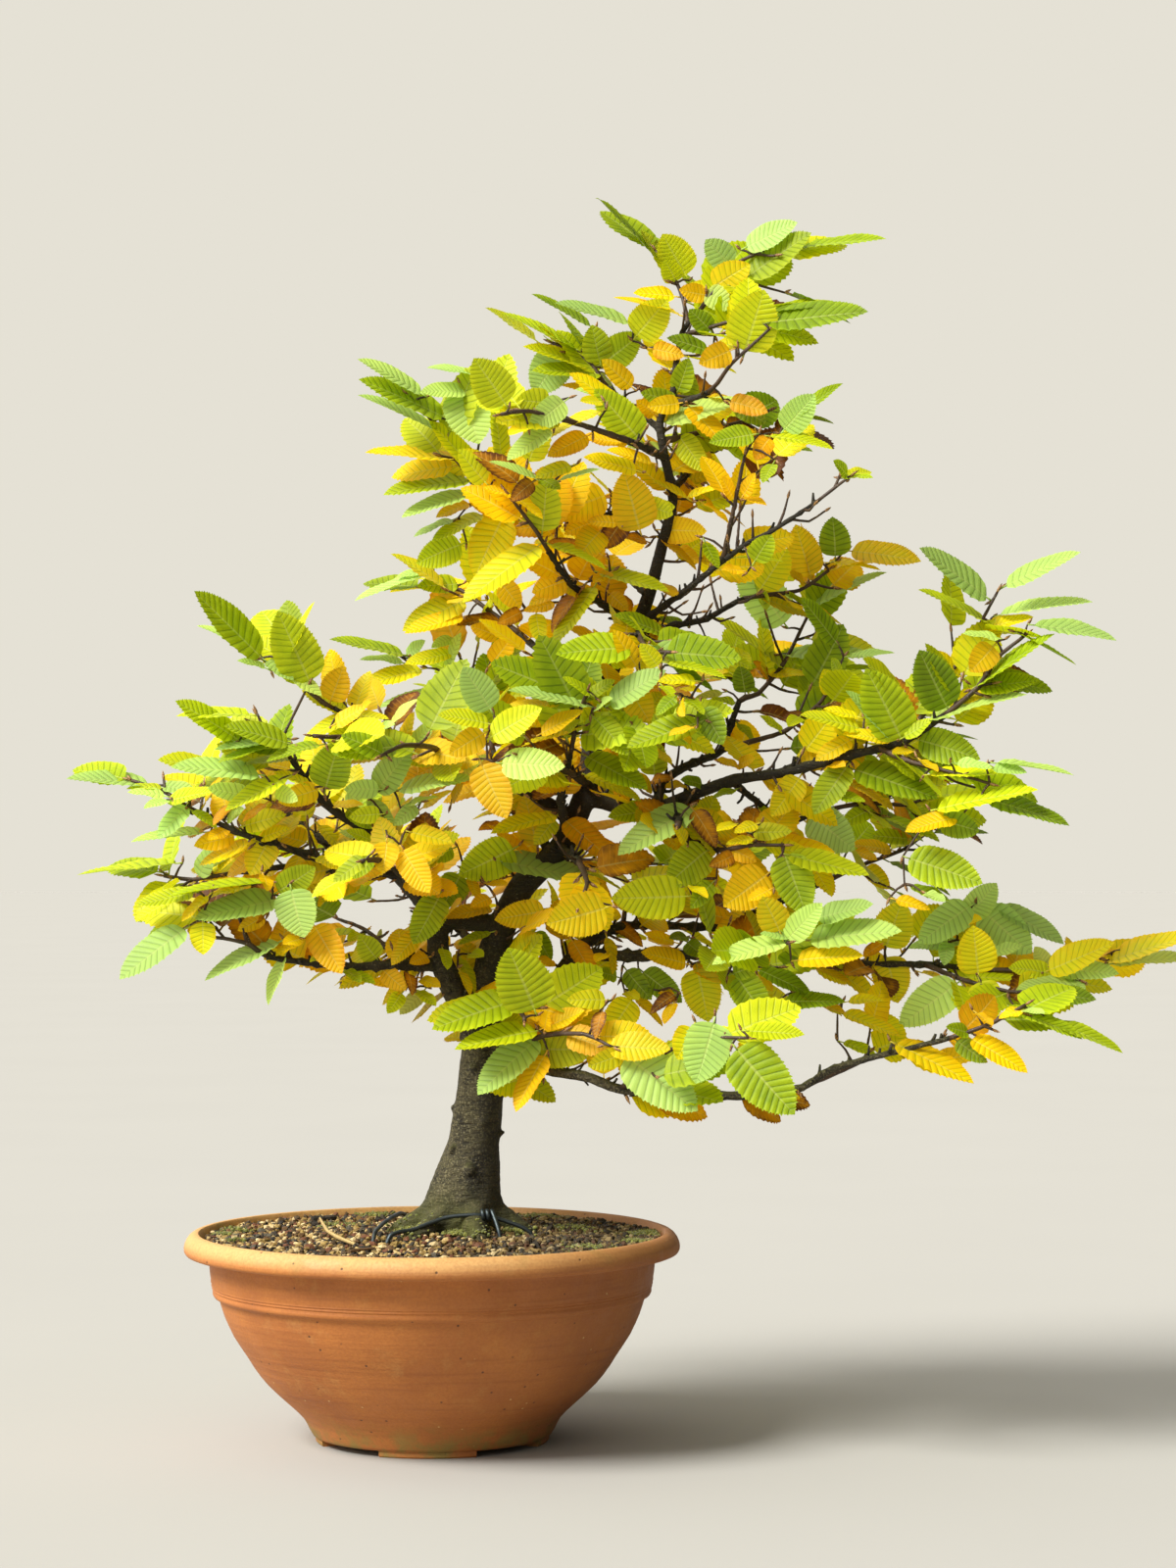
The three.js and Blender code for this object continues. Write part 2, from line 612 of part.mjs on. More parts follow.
function placeLeaf(twig, stem, spot, number) {
  return firstClear((attempt) => {
    const random = seeded(twig.index * 1009 + number * 31 + attempt * 7 + 5);
    const place = along(stem.path, spot.s);
    const setting = settingOff(place, spot.side, 1, random);
    const made = { base: place.point, ...setting };
    const length = mix(LEAF.short, LEAF.long, random()) * LEAF_GROWTH[twig.hue];
    return { blade: leaf(made, length, 0), guard: leaf(made, length, 0.5) };
  }, stem.owner);
}

// A side shoot: a short straight twig.
function placeShoot(twig, number) {
  const total = lengthsOf(twig.path).pop();
  const side = number % 2 === 0 ? 1 : -1;
  return firstClear((attempt) => {
    const random = seeded(twig.index * 1009 + number * 131 + attempt * 17 + 401);
    const place = along(twig.path, total * (0.4 + 0.3 * number));
    const { axis } = settingOff(place, side, 0.8, random);
    const end = place.point.clone().addScaledVector(axis, mix(SHOOT.short, SHOOT.long, random()));
    const path = [place.point.toArray(), end.toArray()];
    const radii = [SHOOT.radius, SHOOT.tip];
    return {
      path,
      stem: stemOf(rings(path, radii, SIDES.shoot)),
      guard: guardOf(path, radii, SIDES.shoot, 2 * GAP),
    };
  }, `${twig.name} stem`);
}

function makeSpray(twig) {
  const stems = [{ path: twig.path, owner: `${twig.name} stem`, leaves: twig.leaves }];
  const parts = [twig.stem];
  for (let i = 0; i < twig.shoots; i += 1) {
    const shoot = placeShoot(twig, i);
    if (shoot) {
      const owner = `${twig.name} shoot ${i}`;
      take(shoot.stem, owner);
      parts.push(shoot.stem);
      stems.push({ path: shoot.path, owner, leaves: 1 });
    }
  }
  let number = 0;
  stems.forEach((stem) => {
    const total = lengthsOf(stem.path).pop();
    const step = Math.min(LEAF.spacing, (total - 6) / Math.max(stem.leaves - 1, 1));
    for (let i = 0; i < stem.leaves; i += 1) {
      const side = i === 0 ? 0.15 : 1 - 2 * (i % 2);
      const placed = placeLeaf(twig, stem, { s: total - i * step, side }, number);
      number += 1;
      if (placed) {
        take(placed.guard, twig.name);
        parts.push(placed.blade);
      }
    }
  });
  return parts;
}

function nearby(made, others) {
  const box = made.boundingBox();
  return others.filter((other) => {
    const far = other.boundingBox();
    return [0, 1, 2].every((k) => box.min[k] < far.max[k] && box.max[k] > far.min[k]);
  });
}

const sprays = twigs.map((twig) => {
  const whole = join(makeSpray(twig));
  const clear = nearby(whole, guards).reduce((spray, guard) => spray.subtract(guard), whole);
  return { name: `spray_${twig.name}`, made: largest(clear), hue: twig.hue };
});

// The object

const finish = (color, roughness) => new THREE.MeshStandardMaterial({ color, roughness, metalness: 0 });

const group = new THREE.Group();
function piece(name, geometry, material) {
  const mesh = new THREE.Mesh(geometry, material);
  mesh.name = name;
  group.add(mesh);
  return mesh;
}

piece('pot', geometryOf(makePot()), finish(COLOURS.terracotta, 0.6));
const screen = piece(
  'drain_screen',
  new THREE.CylinderGeometry(SCREEN.radius, SCREEN.radius, SCREEN.thickness, 16).rotateX(Math.PI / 2),
  finish(COLOURS.screen, 0.7),
);
screen.position.z = POT_FLOOR + GAP + SCREEN.thickness / 2;
const buried = [...guards.slice(0, ROOTS.length + 1), ...wireGuards];
piece('soil', geometryOf(makeSoil(buried)), finish(COLOURS.soil, 0.95));
Object.entries(WIRES).forEach(([name, path]) => {
  const wire = stemOf(rings(path, wireRadii(path), SIDES.wire));
  piece(name, geometryOf(wire), finish(COLOURS.wire, 0.5));
});
piece('trunk', geometryOf(trunk), finish(COLOURS.bark, 0.9));
sprays.forEach(({ name, made, hue }) => piece(name, geometryOf(made), finish(COLOURS[hue], 0.6)));

export default group;
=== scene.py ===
import math

import bpy
import numpy as np
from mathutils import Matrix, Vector
from mathutils.bvhtree import BVHTree
from mathutils.noise import noise


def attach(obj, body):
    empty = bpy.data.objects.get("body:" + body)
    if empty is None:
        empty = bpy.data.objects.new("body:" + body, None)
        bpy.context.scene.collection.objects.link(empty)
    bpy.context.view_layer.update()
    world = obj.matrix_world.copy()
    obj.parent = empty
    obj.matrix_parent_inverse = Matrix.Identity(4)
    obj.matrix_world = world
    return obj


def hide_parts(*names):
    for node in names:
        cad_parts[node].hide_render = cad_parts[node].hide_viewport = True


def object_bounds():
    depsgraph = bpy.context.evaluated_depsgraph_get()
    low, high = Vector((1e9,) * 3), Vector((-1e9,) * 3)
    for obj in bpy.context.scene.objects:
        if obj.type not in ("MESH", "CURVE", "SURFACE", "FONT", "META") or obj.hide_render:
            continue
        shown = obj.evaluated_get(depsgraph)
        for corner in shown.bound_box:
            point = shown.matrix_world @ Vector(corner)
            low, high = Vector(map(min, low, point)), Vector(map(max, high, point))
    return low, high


bl_info = {
    "name": "Hornbeam Bonsai",
    "version": (1, 0, 0),
    "blender": (4, 5, 0),
    "location": "View3D > Sidebar > Bonsai",
    "description": "Builds a hornbeam bonsai with autumn leaves in a terracotta bowl",
    "category": "Object",
}

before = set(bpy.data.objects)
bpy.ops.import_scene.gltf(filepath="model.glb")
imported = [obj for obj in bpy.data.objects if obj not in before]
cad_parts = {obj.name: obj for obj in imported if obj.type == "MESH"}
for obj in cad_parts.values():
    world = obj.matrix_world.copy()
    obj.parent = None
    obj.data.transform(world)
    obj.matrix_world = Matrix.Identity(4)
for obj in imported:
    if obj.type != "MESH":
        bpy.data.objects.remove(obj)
CAD_BOX = [[float(x) for x in corner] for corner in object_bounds()]
MM = 0.001

# Tables. Lengths are in millimetres, and +Z is up.

# Radius and height of the pot: from the underside's middle, up the outside, over the lip and down inside.
POT_PROFILE = [
    (0, 0), (8, 0), (15, 0), (16, 0.4), (17.6, 3.5), (18.6, 4), (40, 4), (60, 4), (71.8, 4), (72.6, 4.4),
    (73.6, 6), (74.8, 8), (76.2, 11), (78.4, 14.7), (82, 18.6), (85.6, 22), (89.5, 25.5), (93.3, 29),
    (97, 32.5), (100.5, 36), (104.4, 40.6), (108.3, 46), (112, 52), (116.4, 58.6), (120.5, 65), (123.4, 71),
    (126, 77), (128, 83), (129, 86.6), (129.6, 87.6), (131, 88.2), (132.3, 89), (133, 90.2), (133.1, 91.4),
    (132.7, 92.3), (132.8, 93), (133.5, 93.6), (133.3, 94.6), (133.9, 95.4), (133.7, 96.6), (134.2, 97.6),
    (134.1, 99), (134.6, 102), (135.1, 107), (135.7, 112), (136.1, 113.4), (137.2, 114), (143, 114),
    (147.8, 114), (149.3, 114.6), (150.2, 116), (150.4, 118), (149.9, 120.4), (148.8, 122.8),
    (147.3, 124.8), (145.4, 126.2), (143.4, 126.9), (141.8, 126.7), (140.8, 125.6), (140, 123),
    (138.9, 119.5), (137.5, 116), (133, 105), (125, 85), (107, 50), (80, 21.5), (68, 9.5), (30, 9.5),
    (0, 9.5),
]
PAD = {"inner": 50, "outer": 71, "half_angle": 24, "top": 5, "count": 4}
DRAIN = {"radius": 6, "ring": 38, "count": 4}
SOIL_RADIUS = 138.8
SOIL_EDGE = 121
SOIL_MOUND = {"height": 8, "spread": 62}
# The bed of fine soil: how far it lies under the grains, and its underside's height and share of the radius.
BED = {"under": 1.2, "low": 85, "taper": 0.9, "rings": 30, "spokes": 96}
TRUNK_FOOT = (20, 0)
CROWN_MIDDLE = (60, 0)
# Surface roots: compass angle in degrees, reach, radius at the trunk.
ROOTS = [(182, 44, 9), (232, 50, 8), (284, 44, 9.5), (344, 42, 8), (80, 46, 9)]
# How a root falls: distance from the trunk's middle and height of its first points, its height at its reach,
# and how much farther and how high its buried end is.
ROOT_START = [(4, 150), (22, 135)]
ROOT_HEIGHT = 125
ROOT_END = (10, 113)
# Stumps of old shoots on the trunk: compass angle in degrees, height, radius, how far it stands out.
KNOTS = [
    (180, 252, 1.7, 5), (188, 240, 2.4, 2), (352, 180, 1.6, 4), (350, 205, 2.2, 2), (250, 222, 2.6, 1.6),
    (290, 190, 3, 1.4), (228, 172, 2.4, 1.4), (310, 232, 2, 2), (275, 158, 3.2, 1.2),
    (170, 196, 2.2, 1.6), (90, 220, 2.6, 2), (60, 180, 2.4, 3),
]
# Patches of moss: x, y, how far it spreads, number of lumps.
MOSS = [
    (128, 12, 13, 240), (122, -30, 8, 70), (-124, 34, 8, 50), (-128, 8, 6, 36), (16, -30, 10, 110),
    (-14, -14, 8, 90), (50, -16, 9, 80), (10, 34, 12, 120), (60, 110, 16, 130), (-40, 118, 12, 90),
    (-118, -22, 5, 20), (96, -60, 14, 60), (84, 20, 16, 70), (-60, 60, 16, 50),
]
# Bits of dead stalk and bark on the soil: x, y, compass angle in degrees, length, radius, shade, and how far
# the end rises.
LITTER = [
    (-43, -60, 113, 76, 1, 0.35, 8), (-80, 84, 20, 9, 2, 0.95, 0), (-66, 96, 200, 8, 1.8, 0.45, 0),
    (104, -20, 160, 14, 0.8, 0.25, 0), (-44, -92, 30, 16, 0.9, 0.55, 1), (66, -96, 120, 11, 1, 0.15, 1),
    (20, 92, 170, 22, 1, 0.35, 2), (-100, -30, 80, 12, 0.9, 0.15, 0),
]
WIRE_RADIUS = 1.3
WIRES = {
    "anchor_wire_left": [
        (-17, 62, 108), (-18, 58, 128), (-22, 34, 133.5), (-29, -12, 132.5), (-33, -40, 129), (-35, -58, 108),
    ],
    "anchor_wire_front": [
        (-30, -50, 108), (-23, -46, 128.5), (-9, -38, 131.5), (8, -31, 137.5), (28, -30, 139.5),
        (44, -28, 136), (60, -28, 128.5), (66, -28, 108),
    ],
}
# The end that is wound round the front wire: where it starts, its turns and their pitch, and its tail down
# into the grit.
TWIST = {
    "wire": "anchor_wire_front", "start": (31, -30, 139.2), "turns": 2, "pitch": 2.9,
    "tail": [(39.5, -34.5, 135.5), (41.5, -38, 129.5), (43.5, -40.5, 118)],
}
# The stem from the soil to the top: x, y, z, radius.
LEADER = [
    (20, 0, 90, 16), (18, 0, 123, 30), (20, 0, 150, 23.5), (25, 0, 180, 18), (29, 0, 211, 14.6),
    (30, 2, 228, 13.8), (32, 4, 252, 12.3), (33, 8, 279, 10.4), (41, 12, 309, 9), (54, 15, 336, 8.2),
    (78, 18, 360, 7.6), (93, 20, 393, 7), (98, 22, 426, 6.3), (104, 18, 456, 5.6), (114, 12, 480, 4.9),
    (126, 5, 499, 4.4), (133, 0, 518, 3.9), (139, -5, 541, 3.5), (146, -8, 570, 3.1), (141, -10, 596, 2.7),
    (138, -8, 618, 2.4), (146, -5, 636, 2.1), (148, 0, 654, 1.9), (152, 5, 674, 1.7), (163, 8, 688, 1.5),
]
# Every branch: name, radius at both ends, how many of its points are old wood, leaf colour, leaves and shoots
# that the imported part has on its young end, and its points as x, y, z from the joint outwards.
BRANCHES = [
    ("left_limb", 9, 5, 7, "wood", 0, 0,
     "31 3 241  22 0 258  13 -4 274  4 -6 294  3 -6 308  -6 -8 330  -21 -14 348"),
    ("bridge", 5.6, 5.2, 4, "wood", 0, 0, "44 12 311  29 6 314  12 -2 315  3 -6 308"),
    ("right_limb", 5.8, 4.4, 5, "wood", 0, 0, "35 4 249  53 8 255  66 12 262  79 16 285  88 18 296"),
    ("left_1", 3.6, 1, 5, "green", 4, 1,
     "-20 -14 346  -28 -18 361  -41 -25 371  -63 -36 386  -82 -46 412  -88 -50 423  -104 -54 433"),
    ("left_2", 3.2, 1, 5, "green", 3, 0,
     "-17 -12 342  -50 -2 350  -67 8 364  -86 18 376  -97 24 390  -110 30 408  -133 34 412"),
    ("left_3", 3.2, 0.9, 5, "green", 4, 1,
     "-18 -14 345  -51 -26 348  -85 -34 359  -116 -36 369  -147 -32 385  -161 -28 394  -180 -24 400"),
    ("left_4", 2.8, 1, 4, "green", 4, 0,
     "-21 -12 347  -55 8 341  -85 20 348  -117 28 345  -150 34 340  -179 38 344"),
    ("low_left", 3.6, 1, 5, "green", 4, 1,
     "7 -6 288  -27 -22 289  -44 -30 288  -73 -42 291  -96 -50 295  -108 -54 303  -129 -58 307"),
    ("low_left_back", 2.6, 1, 2, "gold", 3, 0, "-10 -12 288  -26 22 296  -45 50 309  -63 70 315"),
    ("left_back", 3.6, 1, 4, "green", 3, 0,
     "3 -6 306  -8 30 323  -29 70 344  -52 100 363  -73 120 376  -96 135 385"),
    ("left_front", 3, 1, 3, "gold", 3, 0,
     "-6 -8 330  -15 -45 343  -27 -80 352  -40 -105 351  -54 -125 344"),
    ("up_1", 4.4, 1, 6, "green", 4, 1,
     "85 19 376  68 12 388  47 0 398  12 -16 413  -21 -30 427  -57 -42 442  -73 -46 454  -84 -50 463"
     "  -91 -53 475"),
    ("up_1_low", 2, 0.9, 0, "green", 3, 0, "-21 -30 427  -39 -50 425  -64 -66 425  -84 -76 428"),
    ("up_1_front", 2.4, 1, 0, "green", 3, 0, "12 -16 413  2 -55 419  -13 -90 419  -29 -115 410"),
    ("up_2", 3, 1, 4, "green", 3, 0,
     "73 17 355  58 34 374  47 44 384  35 62 420  31 68 437  21 74 462  14 78 479"),
    ("up_3", 2.8, 1, 3, "green", 3, 0, "82 17 367  78 -16 389  84 -50 415  88 -66 435  94 -78 451"),
    ("up_4", 2.8, 1, 4, "gold", 3, 0,
     "103 18 456  84 30 469  66 44 481  52 55 493  34 64 507  14 72 522  -9 78 524"),
    ("up_5", 2.6, 1, 4, "gold", 3, 0,
     "123 6 494  105 -8 506  85 -26 517  71 -46 536  63 -56 548  48 -66 567"),
    ("up_6", 2.6, 0.9, 4, "green", 4, 1,
     "144 -8 563  118 -14 563  94 -20 557  59 -28 560  35 -34 567  21 -38 584  7 -42 608"
     "  -12 -46 628"),
    ("up_7", 2, 0.9, 3, "green", 3, 0,
     "140 -8 612  124 6 626  106 14 642  96 20 657  76 24 669  63 28 674"),
    ("up_9", 2.6, 1, 2, "green", 4, 0, "141 -10 596  118 -45 602  89 -75 608  60 -95 613  38 -110 608"),
    ("low_right", 4, 1, 10, "green", 4, 1,
     "32 2 236  47 -14 237  67 -30 227  94 -44 223  114 -50 216  161 -56 213  189 -58 213"
     "  221 -62 218  240 -68 230  306 -80 248  332 -86 258  353 -88 270"),
    ("low_right_mid", 1.8, 0.9, 0, "gold", 3, 0, "221 -62 218  249 -50 229  276 -40 240  290 -34 248"),
    ("low_right_front", 2, 0.9, 0, "green", 3, 0, "114 -50 216  132 -80 235  158 -100 249  187 -115 250"),
    ("front_1", 2.8, 1, 0, "green", 4, 0, "35 6 258  45 -30 270  57 -60 259  54 -78 248"),
    ("front_2", 2.2, 0.9, 0, "gold", 3, 0, "47 -14 237  69 -48 248  92 -72 250  109 -85 243"),
    ("right_2", 3.8, 1, 7, "gold", 4, 1,
     "87 18 295  119 24 293  172 30 294  197 30 294  252 24 288  301 16 288  340 10 285  369 4 285"
     "  395 -2 292  421 -8 298"),
    ("right_2_low", 1.8, 0.9, 0, "green", 3, 0, "301 16 288  323 -10 279  348 -26 273  364 -34 274"),
    ("right_2_front", 2.4, 1, 0, "green", 3, 0, "172 30 294  180 -20 289  193 -60 298  212 -85 304"),
    ("right_3", 3.2, 1, 6, "green", 3, 0,
     "88 18 298  107 36 308  128 50 312  172 66 310  209 76 323  242 84 337  269 90 349  294 94 358"
     "  310 96 369"),
    ("right_4", 5, 1, 9, "green", 4, 1,
     "93 20 392  112 10 385  130 0 380  146 -8 387  181 -24 400  214 -34 405  247 -42 414"
     "  281 -48 422  306 -52 438  326 -54 455  337 -55 472  353 -56 485"),
    ("right_4_low", 2, 0.9, 0, "green", 3, 0, "267 -45 419  285 -64 410  310 -76 403  329 -84 397"),
    ("right_4_top", 2, 0.9, 0, "green", 4, 0, "281 -48 422  303 -34 450  324 -34 484  339 -36 512"),
    ("right_5", 2.2, 1, 4, "green", 3, 0,
     "180 -24 400  195 -8 389  216 6 375  237 14 382  265 20 387  291 24 386  306 26 392"),
    ("right_6", 2.2, 1, 3, "gold", 3, 0,
     "137 -4 383  155 -28 364  172 -44 358  192 -58 361  210 -66 361"),
    ("right_7", 3.2, 1, 5, "green", 4, 1,
     "135 -2 383  142 16 402  160 30 412  177 42 420  189 54 451  201 58 456  217 64 475  233 70 506"),
    ("right_7_low", 2, 1, 0, "green", 3, 0, "177 42 420  199 28 426  217 18 432  237 8 449  245 4 464"),
    ("right_8", 2.4, 1, 4, "gold", 3, 0,
     "119 9 488  149 18 496  168 28 501  191 40 514  226 50 520  245 56 533"),
    ("right_9", 2.2, 0.9, 5, "sprout", 2, 0,
     "123 7 494  158 -26 518  187 -50 539  204 -60 547  229 -70 563  241 -74 572  248 -76 577"),
    ("right_10", 1.8, 0.9, 0, "gold", 3, 0, "175 -39 530  180 -54 556  184 -60 577  187 -62 591"),
    ("right_11", 2, 0.9, 2, "green", 3, 0,
     "142 -6 627  167 -28 633  180 -42 648  193 -50 659  202 -54 667"),
    ("right_12", 2.2, 0.9, 0, "green", 3, 0, "140 -9 606  166 12 614  191 22 622  206 28 629"),
    ("top_1", 1.5, 0.9, 0, "green", 4, 1, "163 8 688  175 8 704  186 8 717  212 5 728"),
    ("top_2", 1.5, 0.9, 0, "green", 4, 0, "156 6 678  152 18 699  144 22 717  136 24 727"),
    ("top_3", 1.6, 0.9, 0, "green", 3, 0, "152 5 672  176 -16 676  197 -28 680"),
    ("back_1", 4, 1, 3, "green", 3, 0, "35 8 279  21 60 301  0 110 319  -14 140 330  -34 165 337"),
    ("back_2", 4, 1, 3, "green", 3, 0, "61 16 343  88 70 349  120 115 350  152 145 350  178 165 347"),
    ("back_3", 3.6, 1, 3, "green", 3, 0, "93 20 393  76 70 418  57 110 438  37 135 452  18 155 456"),
    ("back_4", 3.4, 1, 3, "green", 3, 0, "102 19 447  125 65 461  151 100 469  177 125 477  199 140 483"),
    ("back_5", 2.8, 1, 3, "gold", 3, 0, "131 0 514  113 45 533  94 80 549  79 100 560  63 118 565"),
    ("back_6", 2.4, 1, 3, "green", 3, 0, "145 -8 576  161 35 596  174 60 611  184 78 623  191 90 630"),
    ("back_7", 3, 1, 2, "green", 3, 0, "214 -34 405  239 20 420  266 60 433  296 85 444"),
    ("front_3", 3, 1, 2, "gold", 3, 0, "78 18 360  89 -40 351  94 -85 339  89 -110 325"),
    ("front_4", 3, 1, 2, "green", 3, 0, "93 20 399  86 -40 403  69 -85 409  54 -110 413"),
    ("front_5", 2.8, 1, 2, "green", 3, 0, "99 20 438  118 -40 433  132 -80 430  145 -110 435"),
    ("front_6", 2.6, 1, 2, "green", 3, 0, "126 5 499  125 -50 485  131 -90 474  145 -110 472"),
    ("front_7", 3, 1, 2, "green", 3, 0, "146 -8 387  148 -60 374  141 -100 361  129 -125 345"),
]
LEAF = {"short": 34, "long": 50, "width": 0.6, "petiole": 5, "spacing": 17}
LEAF_GROWTH = {"green": 1, "gold": 0.88, "sprout": 0.42}
SHOOT = {"short": 26, "long": 38}
# Half of a leaf's outline: share of the length, share of the half width.
OUTLINE = [
    (0, 0.12), (0.02, 0.4), (0.06, 0.66), (0.13, 0.88), (0.23, 0.98), (0.35, 1), (0.47, 0.98),
    (0.59, 0.91), (0.71, 0.78), (0.81, 0.61), (0.89, 0.42), (0.955, 0.19), (1, 0.012),
]
# How far a leaf has turned, on a scale from fresh green to dead.
TURNED = {"green": 0.38, "gold": 0.62, "sprout": 0.3, "inner": 0.62}
# How far a new leaf or bare twig stays from the leaves that are there.
ROOM = {"leaf": 7.5, "packed": 5, "twig": 11}
# Depths that are tried for a front leaf, from that of its twig.
DEPTHS = (0, -7, 7, -14, 14, -21, 21, -29, -38, -48, -60)
# The step of the map of the front view that the leaves cover.
COVER_STEP = 2
# Where the pieces of inner leaves meet: the lowest height of the top one, and x between left and right.
REGIONS = {"top": 470, "middle": 60}
INNER = ("left", "right", "top")
# The camera's place: x, how far it is in front of the tree, and height. Its lens and film are in millimetres.
EYE = np.array([94.5, 2087.0, 356.0])
CAMERA = {"lens": 78.75, "film": 36, "shift": 71 / 1600}
FLOOR = {"radius": 30000, "corners": 64}
# The suns: the way that each shines, and how wide it looks in degrees.
SUNS = {"key": ((0.66, 0.4, -0.78), 28), "fill": ((-0.4, 0.75, -0.5), 70)}
